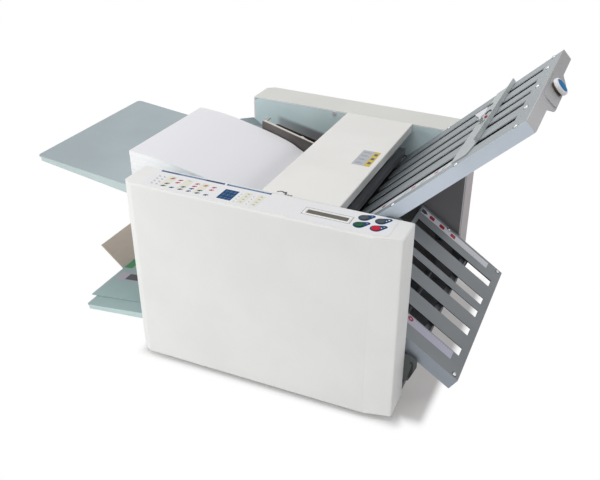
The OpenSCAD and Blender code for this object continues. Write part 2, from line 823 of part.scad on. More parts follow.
// Belt round two pulleys, a little clear of both
module belt(a, ra, b, rb, y) {
  w = belt_w - 3;
  in = move_gap;
  out = move_gap + belt_t;
  translate([0, y + 1.5, 0]) rotate([-90, 0, 0]) linear_extrude(w) mirror([0, 1]) difference() {
    hull() {
      translate(a) circle(r = ra + out);
      translate(b) circle(r = rb + out);
    }
    hull() {
      translate(a) circle(r = ra + in);
      translate(b) circle(r = rb + in);
    }
  }
}

module drive_belts() {
  color(black) {
    belt(core, pulley_r, feed_axis, pulley_r, feed_belt_y);
    belt(core, main_pulley_r, motor_axis, motor_pulley_r, motor_belt_y);
    belt(core, pulley_r, exit_axis, pulley_r, exit_belt_y);
  }
}

module motor() {
  y1 = bay_r;
  color(dark_grey) difference() {
    union() {
      rod(motor_axis, y1 - motor_len, y1 - 6, motor_r);
      rod(motor_axis, y1 - motor_len - 8, y1 - motor_len, motor_r - 8);
      block([motor_axis[0] - motor_r, y1 - 6, motor_axis[1] - motor_r],
            [motor_axis[0] + motor_r, y1, motor_axis[1] + motor_r]);
    }
    rod(motor_axis, y1 - 30, y1 + 1, motor_shaft_r + run_gap);
    for (a = [0:30:330])
      rod(motor_axis + (motor_r - 12) * [cos(a), sin(a)], y1 - motor_len - 9, y1 - motor_len + 5, 2);
  }
}

module motor_pulley() {
  color("silver") {
    rod(motor_axis, bay_r - 29, motor_belt_y + belt_w + 1, motor_shaft_r);
    pulley(motor_axis, motor_belt_y, motor_pulley_r, motor_shaft_r);
  }
}

module exit_roller() {
  color(black) {
    shaft(exit_axis, exit_belt_y + belt_w + 1);
    for (i = [-2:2]) rod(exit_axis, bay_mid + i * 60 - 8, bay_mid + i * 60 + 8, exit_r);
    pulley(exit_axis, exit_belt_y, pulley_r);
  }
}

module exit_idler() {
  color(mid_grey) {
    shaft(idler_axis, bay_r + frame_t + 4);
    for (i = [-2:2]) rod(idler_axis, bay_mid + i * 60 - 7, bay_mid + i * 60 + 7, idler_r);
  }
}

// Flanged bushes seated in both side frames
module bush(at, y, out) {
  translate([at[0], y, at[1]]) rotate([out > 0 ? -90 : 90, 0, 0]) difference() {
    union() {
      cylinder(r = bearing_r, h = bearing_len);
      translate([0, 0, frame_t]) cylinder(r = bearing_r + 1.5, h = bearing_lip);
    }
    translate([0, 0, -1]) cylinder(r = shaft_r + run_gap, h = bearing_len + 2);
  }
}

module roller_bearings() {
  color("peru") for (a = [each roller_axes, feed_axis, exit_axis, idler_axis]) {
    bush(a, bay_f, -1);
    bush(a, bay_r, 1);
  }
}

// ---- Power ----

// Socket and rocker switch share one housing low on the rear cover
inlet_x = -175;
inlet_h = 60;
inlet_tall = 26;
inlet_span = [inlet_x - 17, inlet_x + 44];
inlet_depth = 24;
inlet_lip = 2;
socket = [24, 16];
rocker_x = inlet_x + 30;
rocker_half = 5;
rocker_tilt = 6;
rocker_pin_r = 1;
rocker_back = -1;

module power_inlet() {
  half = inlet_tall / 2;
  s = socket / 2;
  y0 = yb - inlet_depth;
  y1 = yb + inlet_lip;
  color(black) {
    difference() {
      union() {
        block([inlet_span[0], y0, inlet_h - half], [inlet_span[1], yb, inlet_h + half]);
        block([inlet_span[0] - 3, yb, inlet_h - half - 3], [inlet_span[1] + 3, y1, inlet_h + half + 3]);
      }
      across(y0 + 4, y1 + 1) translate([inlet_x, inlet_h]) polygon([
        -s, [s.x, -s.y], [s.x, s.y - 5], [s.x - 5, s.y], [5 - s.x, s.y], [-s.x, s.y - 5]]);
      block([rocker_x - rocker_half - move_gap, yb - 8, inlet_h - 8.5],
            [rocker_x + rocker_half + move_gap, y1 + 1, inlet_h + 8.5]);
      translate([rocker_x - 8, yb + rocker_back, inlet_h]) rotate([0, 90, 0])
        cylinder(r = rocker_pin_r + run_gap, h = 16);
    }
    for (p = [[-7, -1], [7, -1], [0, 3]])
      translate([inlet_x + p[0] - 1, y0 + 3, inlet_h + p[1] - 2]) cube([2, inlet_depth - 11, 4]);
  }
}

// Rocker that tips about a pin across its middle
module power_switch() {
  color(black) translate([rocker_x, yb + rocker_back, inlet_h]) rotate([rocker_tilt, 0, 0]) {
    rotate([90, 0, 90]) translate([0, 0, -rocker_half]) linear_extrude(2 * rocker_half)
      polygon([[-3, -6.5], [4.5, -7], [3.5, 0], [4.5, 7], [-3, 6.5]]);
    translate([-7, 0, 0]) rotate([0, 90, 0]) cylinder(r = rocker_pin_r, h = 14);
  }
}

psu = [110, 110, 40];

module power_supply() {
  low = [20, bay_mid - psu.y / 2, pan_top];
  high = low + psu;
  color("silver") difference() {
    block(low, high);
    block(low + [2, 2, 4], high - [2, 2, 2]);
    for (x = [low.x + 10:11:high.x - 15])
      block([x, low.y + 10, high.z - 4], [x + 5, high.y - 10, high.z + 1]);
  }
}

// ---- Exit tray ----

function tray_top(x) = tray_h + (x + tray_reach) * tan(tray_slope);

// Moves children from the tray's own axes, which start at its free end, to the machine's
module tray_place() {
  translate([-tray_reach, 0, tray_h]) rotate([0, -tray_slope, 0]) children();
}

// Sloping tray whose rims end in two legs on the base pan
module exit_tray() {
  y0 = bay_f + 2.5;
  y1 = bay_r - 2.5;
  t = 2;
  x0 = 6 - tray_reach;
  leg = [-166, -124];
  rim_low = 9;
  rim_high = 13;
  color(blue_grey) {
    tray_place() linear_extrude_at(-t, t) polygon(rounded([
      [0, y0, 6], [(tray_reach + leg[1]) / cos(tray_slope), y0, 0],
      [(tray_reach + leg[1]) / cos(tray_slope), y1, 0], [0, y1, 6]]));
    for (y = [y0, y1 - t])
      across(y, y + t) polygon([
        [x0, tray_top(x0) - 1], [leg[1], tray_top(leg[1]) - 1], [leg[1], pan_top], [leg[0], pan_top],
        [leg[0], tray_top(leg[0]) - rim_high], [xl, tray_top(xl) - rim_high], [x0, tray_top(x0) - rim_low]]);
    block([-tray_reach, y0 + 6, tray_h - rim_low], [t - tray_reach, y1 - 6, tray_h - 1]);
  }
}

module linear_extrude_at(z, h) {
  translate([0, 0, z]) linear_extrude(h) children();
}

// Sliding stop that catches the folded sheets: plate on the tray and inclined end plate
module stacker() {
  u0 = -12;
  n0 = move_gap;
  y0 = -155;
  y_mid = -50;
  y1 = 110;
  lean = stop_ang + tray_slope;
  d = [-cos(lean), sin(lean)];
  n = [sin(lean), cos(lean)] * sheet_t;
  foot_pt = [u0 - 2, n0];
  tray_place() {
    color(blue_grey) linear_extrude_at(n0, sheet_t) polygon(rounded([
      [u0, y0, 2], [u0 + 134, y0, 2], [u0 + 134, y1, 2], [u0 - 2, y1, 0], [u0 - 2, y_mid, 0],
      [u0, y_mid, 0]]));
    color(bare_metal) across(y_mid, y1) polygon([
      foot_pt, foot_pt + d * stop_len, foot_pt + d * stop_len + n, foot_pt + n]);
  }
}

// ---- Upper fold table ----

table_mid = (table_y0 + table_y1) / 2;
up_slots = [for (o = slot_offsets) table_mid + o];
lo_slots = [for (o = lo_slot_offsets) table_mid + o - 2];

// Plate slotted from its low end, which leaves fingers with rounded tips
module upper_plate() {
  y0 = table_y0 + rail_t + 0.2;
  y1 = table_y1 - rail_t - 0.2;
  tip_r = 11;
  edges = [y0, for (y = up_slots) each [y - up_slot_w / 2, y + up_slot_w / 2], y1];
  color(table_grey) upper_place() {
    for (i = [0:2:len(edges) - 1])
      linear_extrude_at(-sheet_t, sheet_t) polygon(rounded([
        [-up_in, edges[i], tip_r], [up_slot[1] + 1, edges[i], 0], [up_slot[1] + 1, edges[i + 1], 0],
        [-up_in, edges[i + 1], tip_r]]));
    block([up_slot[1], y0, -sheet_t], [up_out, y1, 0]);
  }
}

module upper_pan() {
  web = -sheet_t - pocket;
  lip = 12;
  color(table_grey) upper_place() difference() {
    union() {
      for (s = [0, 1]) {
        y = s == 0 ? table_y0 : table_y1 - rail_t;
        block([-up_in, y, -up_rail], [up_out, y + rail_t, 0]);
        yl = s == 0 ? table_y0 : table_y1 - lip;
        block([-up_in, yl, -up_rail], [up_out, yl + lip, rail_t - up_rail]);
        // Ledge that carries the slotted plate
        yd = s == 0 ? table_y0 : table_y1 - 6;
        block([-up_in, yd, web - sheet_t], [up_out, yd + 6, -sheet_t]);
      }
      block([-up_in, table_y0, web - sheet_t], [up_out, table_y1, web]);
      // Bearing for the lower end of the adjustment screw
      block([screw_low - 12, table_mid - 9, screw_n - 6], [screw_low - 2, table_mid + 9, web]);
    }
    block([screw_low, table_mid - up_slot_w / 2, web - 5], [up_slot[1], table_mid + up_slot_w / 2, web + 1]);
    translate([screw_low - 20, table_mid, screw_n]) rotate([0, 90, 0])
      cylinder(r = screw_r - 1 + run_gap, h = 30);
  }
}

module upper_end_cap() {
  half = (table_y1 - table_y0) / 2;
  low = -up_rail;
  color([0.65, 0.65, 0.66]) upper_place() difference() {
    union() {
      along(up_out, up_out + cap_t) translate([table_mid, 0]) polygon(rounded([
        [-half, 0, 0], [-half, low, 2], [-boss_half - 24, low, 14], [-boss_half, low - boss_drop, 16],
        [boss_half, low - boss_drop, 16], [boss_half + 24, low, 14], [half, low, 2], [half, 0, 0]]));
      along(up_out + cap_t, up_out + cap_t + boss_t) translate([table_mid, 0]) polygon(rounded([
        [-boss_half, -4, 10], [-boss_half + 6, low - boss_drop + 1, 12],
        [boss_half - 6, low - boss_drop + 1, 12], [boss_half, -4, 10]]));
    }
    translate([up_out - 1, table_mid, screw_n]) rotate([0, 90, 0])
      cylinder(r = screw_r + run_gap, h = cap_t + boss_t + 2);
  }
}

// Paper stop: flat carriage across the table, upright lip, tongues and nut
module upper_stop() {
  z0 = move_gap;
  z1 = z0 + sheet_t;
  u0 = up_stop_u;
  u1 = up_stop_u + up_stop_len;
  tongue = up_slot_w / 2 - move_gap;
  color(table_grey) upper_place() {
    difference() {
      union() {
        linear_extrude_at(z0, sheet_t) polygon([
          [u0, table_y1 - 3], [u0, table_y0 + 26], [u0 + 14, table_y0 + 22], [u0 + 30, table_y0 + 22],
          [u1, table_y0 + 60], [u1, table_y1 - 3]]);
        block([u1 - 2, table_y0 + 60, z0], [u1, table_y1 + 4, z1 + 6]);
        for (y = up_slots)
          block([u0 + 8, y - tongue, -sheet_t - pocket + 0.6], [u0 + 12, y + tongue, z0 + 0.1]);
        block([u0 + 6, table_mid - tongue, screw_n], [u0 + 14, table_mid + tongue, z0 + 0.1]);
        block([u0, table_mid - 8, screw_n - 7], [u0 + 20, table_mid + 8, screw_n + 5.5]);
      }
      translate([u0 - 1, table_mid, screw_n]) rotate([0, 90, 0])
        cylinder(r = screw_r + run_gap, h = 30);
    }
  }
}

module lead_screw() {
  color("silver") upper_place() translate([0, table_mid, screw_n]) rotate([0, 90, 0]) {
    translate([0, 0, screw_low]) cylinder(r = screw_r, h = up_out + cap_t + boss_t + 2 - screw_low);
    translate([0, 0, screw_low - 14]) cylinder(r = screw_r - 1, h = 14);
  }
}

module adjust_knob() {
  u = up_out + cap_t + boss_t;
  color([0, 0.47, 0.75]) upper_place() translate([u + move_gap, table_mid, screw_n]) rotate([0, 90, 0])
    rotate_extrude() polygon([
      [screw_r, 0], [knob_d * 0.36, 0], [knob_d * 0.36, 6], [knob_d / 2 - 1, 7], [knob_d / 2, 8.5],
      [knob_d / 2, knob_len - 2], [knob_d / 2 - 2, knob_len], [0, knob_len], [0, 2.2], [screw_r, 2.2]]);
}

// ---- Lower fold table ----

module lower_plate() {
  y0 = table_y0 + rail_t + 0.2;
  y1 = table_y1 - rail_t - 0.2;
  color(mid_grey) lower_place() difference() {
    block([-lo_in, y0, -sheet_t], [lo_out, y1, 0]);
    for (y = lo_slots)
      block([lo_slot[0], y - lo_slot_w / 2, -5], [lo_slot[1], y + lo_slot_w / 2, 5]);
  }
}

module lower_pan() {
  web = -sheet_t - pocket;
  lip = 14;
  color(mid_grey) lower_place() difference() {
    union() {
      for (s = [0, 1]) {
        y = s == 0 ? table_y0 : table_y1 - rail_t;
        block([-lo_in, y, -lo_rail], [lo_out, y + rail_t, 0]);
        yl = s == 0 ? table_y0 : table_y1 - lip;
        block([-lo_in, yl, -lo_rail], [lo_out, yl + lip, rail_t - lo_rail]);
        yd = s == 0 ? table_y0 : table_y1 - 6;
        block([-lo_in, yd, web - sheet_t], [lo_out, yd + 6, -sheet_t]);
      }
      block([-lo_in, table_y0, web - sheet_t], [lo_out, table_y1, web]);
      block([lo_out - rail_t, table_y0, -lo_rail], [lo_out, table_y1, -sheet_t]);
    }
    for (y = lo_slots)
      block([lo_slot[0], y - lo_slot_w / 2, web - 5],
            [lo_slot[1] + 3, y + lo_slot_w / 2 + lo_view, web + 1]);
  }
}

module lower_stop() {
  web = -sheet_t - pocket;
  u = lo_stop_u;
  bar_top = web - sheet_t - move_gap;
  color(dark_grey) lower_place() {
    block([u - 10, table_y0 + 16, bar_top - 3], [u + 4, table_y1 - 16, bar_top]);
    for (y = lo_slots)
      block([u, y - lo_slot_w / 2 + 2, bar_top - 0.1], [u + 3, y + lo_slot_w / 2 - 2, -sheet_t - 0.6]);
  }
}

// ---- Fold table supports ----

// Pin axes for the hooks at the tables' lower and upper ends
function on_upper(u, n) = [xr + u * cos(up_ang) - n * sin(up_ang), up_h + u * sin(up_ang) + n * cos(up_ang)];
function on_lower(u, n) = [xr + u * cos(lo_ang) + n * sin(lo_ang), lo_h - u * sin(lo_ang) + n * cos(lo_ang)];
pin_r = 3;
pin_spots = [on_upper(-up_in + 20, -up_rail - pin_r), on_upper(-70, -up_rail - pin_r),
             on_lower(-lo_in + 12, -lo_rail - pin_r), on_lower(-30, -lo_rail - pin_r),
             on_lower(34, -lo_rail - pin_r), on_upper(-up_in - 5, -2)];

module table_pins() {
  color("silver") for (p = pin_spots) {
    rod(p, bay_f, table_y0 + 10, pin_r);
    rod(p, table_y1 - 10, bay_r, pin_r);
  }
}

// Plates on the frames that hold the pins beside each rail
module table_brackets() {
  w = 3;
  module plate(p, y, outline) difference() {
    across(y, y + w) polygon(rounded(outline));
    rod(p, y - 1, y + w + 1, pin_r);
  }
  color(black) for (y = [bay_f, bay_r - w]) {
    for (p = [pin_spots[1], pin_spots[3]])
      plate(p, y, [[p[0] - 14, p[1] - 14, 4], [p[0] + 14, p[1] - 14, 4], [p[0] + 14, p[1] + 12, 4],
                   [p[0] - 14, p[1] + 12, 4]]);
    latch = pin_spots[4];
    plate(latch, y, [[rear_r - 12, latch[1] - 36, 3], [latch[0] - 4, latch[1] - 40, 4],
                     [latch[0] + 9, latch[1] - 8, 5], [latch[0] + 9, latch[1] + 8, 5],
                     [latch[0] - 6, latch[1] + 16, 4], [rear_r - 12, latch[1] + 16, 3]]);
    hook = pin_spots[5];
    plate(hook, y, [[hook[0] - 5, hook[1] - 12, 3], [hook[0] + 6, hook[1] - 12, 3],
                    [hook[0] + 6, hook[1] + 5, 4], [hook[0] - 5, hook[1] + 5, 4]]);
  }
}

module dome_screw() {
  rotate_extrude() polygon([[0, 0], [3.6, 0], [3.2, 1.2], [2, 2], [0, 2.3]]);
}

module table_screws() {
  color("silver") {
    upper_place() {
      for (y = [table_y0 + 5, table_y0 + 84, table_mid + 6, table_y1 - 72, table_y1 - 6])
        translate([172, y, 0]) dome_screw();
      for (u = [-57, 67]) translate([u, table_y0 + 5, 0]) dome_screw();
      translate([-64, table_y1 - 5, 0]) dome_screw();
    }
    lower_place() {
      for (y = [table_y0 + 8, table_y1 - 8]) translate([lo_out - 10, y, 0]) dome_screw();
      translate([-30, table_y1 - 6, 0]) dome_screw();
    }
  }
}

// ---- Lid ----

lid_axis = [lid_l + lid_len - 8, body_top - 12];
lid_pin_r = 3;

module lid() {
  x1 = lid_l + lid_len;
  y0 = bay_f + 0.6;
  y1 = bay_r - 0.6;
  flange = 9;
  color(warm_white) {
    across(y0, y1) polygon(rounded([
      [lid_l, body_top - 6, 0], [lid_l, body_top, 2], [x1, body_top, 2], [x1, body_top - lid_lip, 0],
      [x1 - lid_t, body_top - lid_lip, 0], [x1 - lid_t, body_top - lid_t, 0],
      [lid_l + lid_t, body_top - lid_t, 0], [lid_l + lid_t, body_top - 6, 0]]));
    for (y = [y0, y1 - lid_t])
      block([lid_l + 1, y, body_top - flange], [x1 - 1, y + lid_t, body_top - 1]);
    for (s = [[bay_f - frame_t + 0.5, y0 + lid_t], [y1 - lid_t, bay_r + frame_t - 0.5]]) {
      rod(lid_axis, s[0], s[1], lid_pin_r);
    }
    for (y = [y0, y1 - lid_t])
      rod(lid_axis, y, y + lid_t, 6);
  }
}

base_pan();
feet();
front_frame();
rear_frame();
tie_bars();
front_cover();
panel_overlay();
display();
control_board();
rear_cover();
cover_screws();
hopper_floor();
feed_table();
separator();
paper_guides();
crossbar();
roller_bearings();
motor();
drive_belts();
power_supply();
power_inlet();
exit_tray();
upper_plate();
upper_pan();
upper_end_cap();
lower_plate();
lower_pan();
table_brackets();
table_pins();
table_screws();
lid();
paper_stack();
side_guide_front();
side_guide_rear();
guide_knob_front();
guide_knob_rear();
feed_roller();
fold_roller_1();
fold_roller_2();
fold_roller_3();
fold_roller_4();
roller_gear_1();
roller_gear_2();
roller_gear_3();
roller_gear_4();
drive_pulleys();
exit_roller();
exit_idler();
motor_pulley();
upper_stop();
lead_screw();
adjust_knob();
lower_stop();
key_grey_1();
key_green();
key_grey_2();
key_red();
power_switch();
stacker();
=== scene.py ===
import random
from math import cos, hypot, pi, radians, sin, tan

import bpy
import bmesh
from mathutils import Matrix, Vector


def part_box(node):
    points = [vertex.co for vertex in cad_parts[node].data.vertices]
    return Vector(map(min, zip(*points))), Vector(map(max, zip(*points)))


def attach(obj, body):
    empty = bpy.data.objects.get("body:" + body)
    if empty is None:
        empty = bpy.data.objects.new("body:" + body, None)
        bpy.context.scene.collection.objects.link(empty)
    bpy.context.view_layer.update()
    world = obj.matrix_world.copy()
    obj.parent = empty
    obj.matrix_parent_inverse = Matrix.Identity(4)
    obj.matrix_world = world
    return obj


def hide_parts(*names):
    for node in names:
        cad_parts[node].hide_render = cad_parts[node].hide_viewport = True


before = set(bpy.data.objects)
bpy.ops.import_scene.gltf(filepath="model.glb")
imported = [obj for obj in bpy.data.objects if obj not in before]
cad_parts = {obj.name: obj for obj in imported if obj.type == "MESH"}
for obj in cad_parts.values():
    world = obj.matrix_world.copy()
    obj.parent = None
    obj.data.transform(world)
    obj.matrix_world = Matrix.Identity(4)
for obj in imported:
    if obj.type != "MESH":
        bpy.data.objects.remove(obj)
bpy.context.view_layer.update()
print("frame:", len(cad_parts), "nodes")

mm = 0.001
bodyTop = 0.350  # top face of the covers and the lid
filmTop = 0.3506  # top face of the panel's printed film
planes = {  # sloping plates: slope in degrees, then the X and Z that the plane runs through
    "upper": (43.5, 0.238, 0.4048),
    "lower": (-33.5, 0.238, 0.1282),
    "tray": (7, -0.412, 0.014)}


# shader helpers

def linear(rgb):  # 0-255 screen colour to a shader colour
    out = []
    for c in rgb:
        c = c / 255
        out.append(c / 12.92 if c <= 0.04045 else ((c + 0.055) / 1.055) ** 2.4)
    return (*out, 1)


def dim(colour, share):  # shader colour of a darker tone
    return linear([c * share for c in colour])


class Wire:  # one output socket; operators add Math nodes
    def __init__(self, board, socket):
        self.board = board
        self.socket = socket

    def calc(self, operation, *values):
        return self.board.node("ShaderNodeMath", {"operation": operation}, dict(enumerate(values)))

    def __add__(self, other): return self.calc("ADD", self, other)
    def __radd__(self, other): return self.calc("ADD", other, self)
    def __sub__(self, other): return self.calc("SUBTRACT", self, other)
    def __rsub__(self, other): return self.calc("SUBTRACT", other, self)
    def __mul__(self, other): return self.calc("MULTIPLY", self, other)
    def __rmul__(self, other): return self.calc("MULTIPLY", other, self)
    def __gt__(self, other): return self.calc("GREATER_THAN", self, other)
    def __lt__(self, other): return self.calc("LESS_THAN", self, other)
    def __abs__(self): return self.calc("ABSOLUTE", self)

    def least(self, other): return self.calc("MINIMUM", self, other)
    def most(self, other): return self.calc("MAXIMUM", self, other)
    def power(self, other): return self.calc("POWER", self, other)


class Board:  # the nodes of a material, or of the world
    def __init__(self, name, world=None):
        self.owner = world or bpy.data.materials.new(name)
        self.owner.use_nodes = True
        self.tree = self.owner.node_tree
        self.shader = self.tree.nodes["Background" if world else "Principled BSDF"]
        self.spot = 0
        self.axes = None

    def link(self, value, socket):
        if isinstance(value, Wire):
            self.tree.links.new(value.socket, socket)
        else:
            socket.default_value = value

    def node(self, kind, settings, sockets, out=0):
        made = self.tree.nodes.new(kind)
        self.spot -= 160
        made.location = (self.spot, 0)
        for key, value in settings.items():
            setattr(made, key, value)
        for key, value in sockets.items():
            self.link(value, made.inputs[key])
        return Wire(self, made.outputs[out])

    def place(self):
        return self.node("ShaderNodeTexCoord", {}, {}, out="Object")

    def axis(self, letter):  # place along X, Y or Z, in metres
        if self.axes is None:
            split = self.node("ShaderNodeSeparateXYZ", {}, {0: self.place()}).socket.node
            self.axes = {k: Wire(self, split.outputs[k]) for k in "XYZ"}
        return self.axes[letter]

    def above(self, plane):  # height above a sloping plate
        slope, x, z = planes[plane]
        return (self.axis("Z") - z) * cos(radians(slope)) - (self.axis("X") - x) * sin(radians(slope))

    def noise(self, scale, detail, rough=0.5, stretch=None, seed=0):
        vector = self.place()
        if stretch or seed:
            vector = self.node("ShaderNodeMapping", {}, {
                "Vector": vector, "Scale": stretch or (1, 1, 1), "Location": (seed, seed * 0.7, 0)})
        return self.node("ShaderNodeTexNoise", {}, {
            "Vector": vector, "Scale": scale, "Detail": detail, "Roughness": rough})

    def ramp(self, value, low, high, start=0.0, end=1.0):  # soft step from start at low to end at high
        return self.node("ShaderNodeMapRange", {"interpolation_type": "SMOOTHSTEP"}, {
            "Value": value, "From Min": low, "From Max": high, "To Min": start, "To Max": end})

    def mix(self, factor, a, b):
        return self.node("ShaderNodeMix", {"data_type": "RGBA"}, {0: factor, 6: a, 7: b}, out=2)

    def mixShader(self, factor, a, b):
        return self.node("ShaderNodeMixShader", {}, {0: factor, 1: a, 2: b})

    def glow(self, colour, strength):
        return self.node("ShaderNodeEmission", {}, {"Color": colour, "Strength": strength})

    def ray(self, kind):
        return self.node("ShaderNodeLightPath", {}, {}, out="Is " + kind + " Ray")

    def bump(self, height, strength, distance):
        return self.node("ShaderNodeBump", {}, {
            "Height": height, "Strength": strength, "Distance": distance})

    def finish(self, **sockets):
        for key, value in sockets.items():
            self.link(value, self.shader.inputs[key.replace("_", " ")])
        return self.owner


# slow changes of tone

def drifted(b, colour, shade):  # plastic
    return b.mix(b.ramp(b.noise(9, 4, seed=3), 0.35, 0.65), linear(colour), dim(colour, shade))


def clouded(b, colour, shade=0.95, scale=7):  # paint
    return b.mix(b.ramp(b.noise(scale, 3, seed=5), 0.3, 0.7), linear(colour), dim(colour, shade))


def smudged(b, colour, shade):  # bare metal
    return b.mix(b.ramp(b.noise(18, 4, seed=8), 0.35, 0.7), linear(colour), dim(colour, shade))


# grain; low and high are the ends of the roughness

def sparkGrain(b, tone, low=0.44, high=0.58, depth=0.2, reach=0.12 * mm):  # moulded plastic
    spark = b.noise(2600, 2)
    return b.finish(
        Base_Color=tone,
        Roughness=b.ramp(spark, 0.3, 0.7, low, high),
        Normal=b.bump(spark, depth, reach))


def peelGrain(b, tone, low=0.37, high=0.52, depth=0.25, reach=0.2 * mm):  # orange peel of a powder coat
    peel = b.noise(900, 2, seed=1)
    return b.finish(
        Base_Color=tone,
        Roughness=b.ramp(peel, 0.35, 0.65, low, high),
        Normal=b.bump(peel, depth, reach))


def brushGrain(b, lines, tone, metal, low, high, depth=0.12):  # lines of rolled or turned metal
    return b.finish(
        Base_Color=tone,
        Metallic=metal,
        Roughness=b.ramp(lines, 0.3, 0.7, low, high),
        Normal=b.bump(lines, depth, 0.1 * mm))


# kinds of material

def mouldedPlastic(name, colour, shade, rough=0.5):
    b = Board(name)
    return sparkGrain(b, drifted(b, colour, shade), rough - 0.06, rough + 0.08, 0.35)


def sheetPaint(name, colour, rough=0.42, depth=0.25):  # powder coat with fine dark specks
    b = Board(name)
    specks = b.ramp(b.noise(5200, 1, seed=2), 0.68, 0.74)
    tone = b.mix(specks * 0.12, clouded(b, colour, 0.92), dim(colour, 0.8))
    return peelGrain(b, tone, rough - 0.05, rough + 0.1, depth)


def twoToneAndLitRim(name, low, high, split, axis="Z", rough=0.42):  # tone that changes between two places: two colours of metal on the pins, painted light on the lighter front rims of the feed table and the tray
    b = Board(name)
    tone = b.mix(b.ramp(b.axis(axis), *split), clouded(b, low), clouded(b, high))
    return peelGrain(b, tone, rough - 0.05, rough + 0.1)


def brushedMetal(name, colour, rough=0.32, along=(1, 60, 60), metal=1.0):
    b = Board(name)
    lines = b.noise(40, 5, 0.6, stretch=along)
    return brushGrain(b, lines, smudged(b, colour, 0.86), metal, rough - 0.07, rough + 0.12)


def rubber(name, colour=(34, 34, 36)):
    b = Board(name)
    grit = b.noise(1400, 4, 0.6)
    dust = b.ramp(b.noise(60, 5, seed=4), 0.5, 0.8)
    return b.finish(
        Base_Color=b.mix(dust * 0.35, linear(colour), linear([c + 40 for c in colour])),
        Roughness=b.ramp(grit, 0.3, 0.7, 0.62, 0.85),
        Normal=b.bump(grit, 0.4, 0.2 * mm))


def printed(name, colour, rough=0.45, shine=0.5):  # ink on film or paper, with a faint dither
    b = Board(name)
    dither = b.noise(3800, 1)
    light = [min(255, c * 1.05 + 4) for c in colour]
    return b.finish(
        Base_Color=b.mix(b.ramp(dither, 0.4, 0.6), linear(colour), linear(light)),
        Roughness=b.ramp(dither, 0.3, 0.7, rough - 0.04, rough + 0.04),
        Specular_IOR_Level=shine)


def glossPlastic(name, colour, rough, shine=0.5):
    b = Board(name)
    wear = b.noise(420, 4)
    worn = [min(255, c * 1.12 + 6) for c in colour]
    return b.finish(
        Base_Color=b.mix(b.ramp(wear, 0.45, 0.75), linear(colour), linear(worn)),
        Roughness=b.ramp(wear, 0.3, 0.7, rough - 0.05, rough + 0.1),
        Specular_IOR_Level=shine,
        Normal=b.bump(wear, 0.08, 0.1 * mm))


print("materials")
finish = {  # 0-255 screen colours
    # painted light makes the front cover's angled end and the rear cover's front rim lighter, painted shade
    # makes the rear cover's right end darker
    "cover": (241, 241, 239), "coverEndLit": (250, 250, 248), "coverRimLit": (252, 252, 251),
    "rearCover": (226, 226, 222), "rearEndShaded": (198, 189, 191), "lid": (241, 240, 237),
    # painted light: the lighter colours of the feed table's and the tray's front rims
    "feedRimLit": (198, 214, 214), "coolGrey": (171, 184, 189), "tray": (168, 193, 193),
    # painted shade: the dark colour of the frame's lower bay
    "trayRimLit": (206, 228, 228), "frame": (229, 247, 249), "frameBayShade": (138, 136, 138),
    "tableRail": (210, 220, 232), "endCap": (194, 194, 196), "stop": (190, 196, 198),
    "lowerTable": (151, 156, 160), "lowerRail": (168, 176, 186), "crossbar": (142, 144, 150),
    "basePan": (140, 142, 148), "dark": (104, 106, 111), "bracket": (84, 90, 89),
    "black": (24, 24, 26), "ivory": (222, 216, 200), "tyre": (52, 50, 50),
    # painted highlight: the light colour of the side guide's top edge
    "bare": (116, 111, 108), "guideEdgeHighlight": (226, 220, 212), "zinc": (196, 196, 198),
    "screw": (240, 240, 241), "polished": (214, 214, 216), "bronze": (182, 142, 96),
    "pinLow": (44, 44, 46), "pinHigh": (204, 204, 206), "film": (229, 229, 231),
    "navy": (20, 64, 106), "laminate": (36, 96, 58)}


def coverPaint(name, colour, end, split, rim=-1.0):  # its right end and its front rim differ in tone: painted light on the front cover's angled right end, painted shade on the rear cover's right end, painted light on the rear cover's front rim
    b = Board(name)  # rim: the Y where the front rim ends; a cover without one keeps the default
    right = b.ramp(b.axis("X"), *split) * (b.axis("Z") < bodyTop - 0.8 * mm)  # not on the top face
    main = b.mix(b.axis("Y") < rim, drifted(b, colour, 0.985), linear(finish["coverRimLit"]))
    return sparkGrain(b, b.mix(right, main, drifted(b, end, 0.985)))


wall = {
    "bay": (0.262, 0.285),  # height at which the painted shade of the dark bay ends
    "shadeTop": (0.3015, 0.3110), "topAt": -0.1238, "fall": 0.2,  # its upper side at an X, and its slope
    "shadeLeft": (-0.178, -0.164), "deepens": (-0.17, -0.09, 0.6, 0.95)}


def wallPaint():  # side frames: painted shade in the dark bay, pale hopper wall, and a painted shadow of the side guide behind it
    b = Board("frame paint")
    x, z = b.axis("X"), b.axis("Z")
    behind = b.ramp(z + (x - wall["topAt"]) * wall["fall"], *wall["shadeTop"], 1.0, 0.0)
    behind = behind * b.ramp(x, *wall["shadeLeft"]) * b.ramp(x, *wall["deepens"])
    high = b.ramp(z, *wall["bay"]) * (1 - behind)
    return peelGrain(b, b.mix(high, clouded(b, finish["frameBayShade"]), clouded(b, finish["frame"])))


sheared = (-0.6 * mm, -0.2 * mm)  # under a plate's top face: where the painted light of its cut edges sets in, a highlight on the upper plate and shade on the lower
upperTable = {
    # painted reflection: dark towards the bottom of the plate, bright higher up along X; painted highlight:
    # the colour of the sheared edges
    "darkReflection": (104, 112, 118), "bright": (161, 169, 172), "reflectionFades": (0.08, 0.32),
    # painted shade: the near black colour of the floor under the slots
    "cloud": (126, 132, 137), "edge": (206, 211, 215), "floor": (14, 14, 16),
    "inside": (-6.3 * mm, -0.2 * mm), "walls": (-0.1786, 0.1746)}


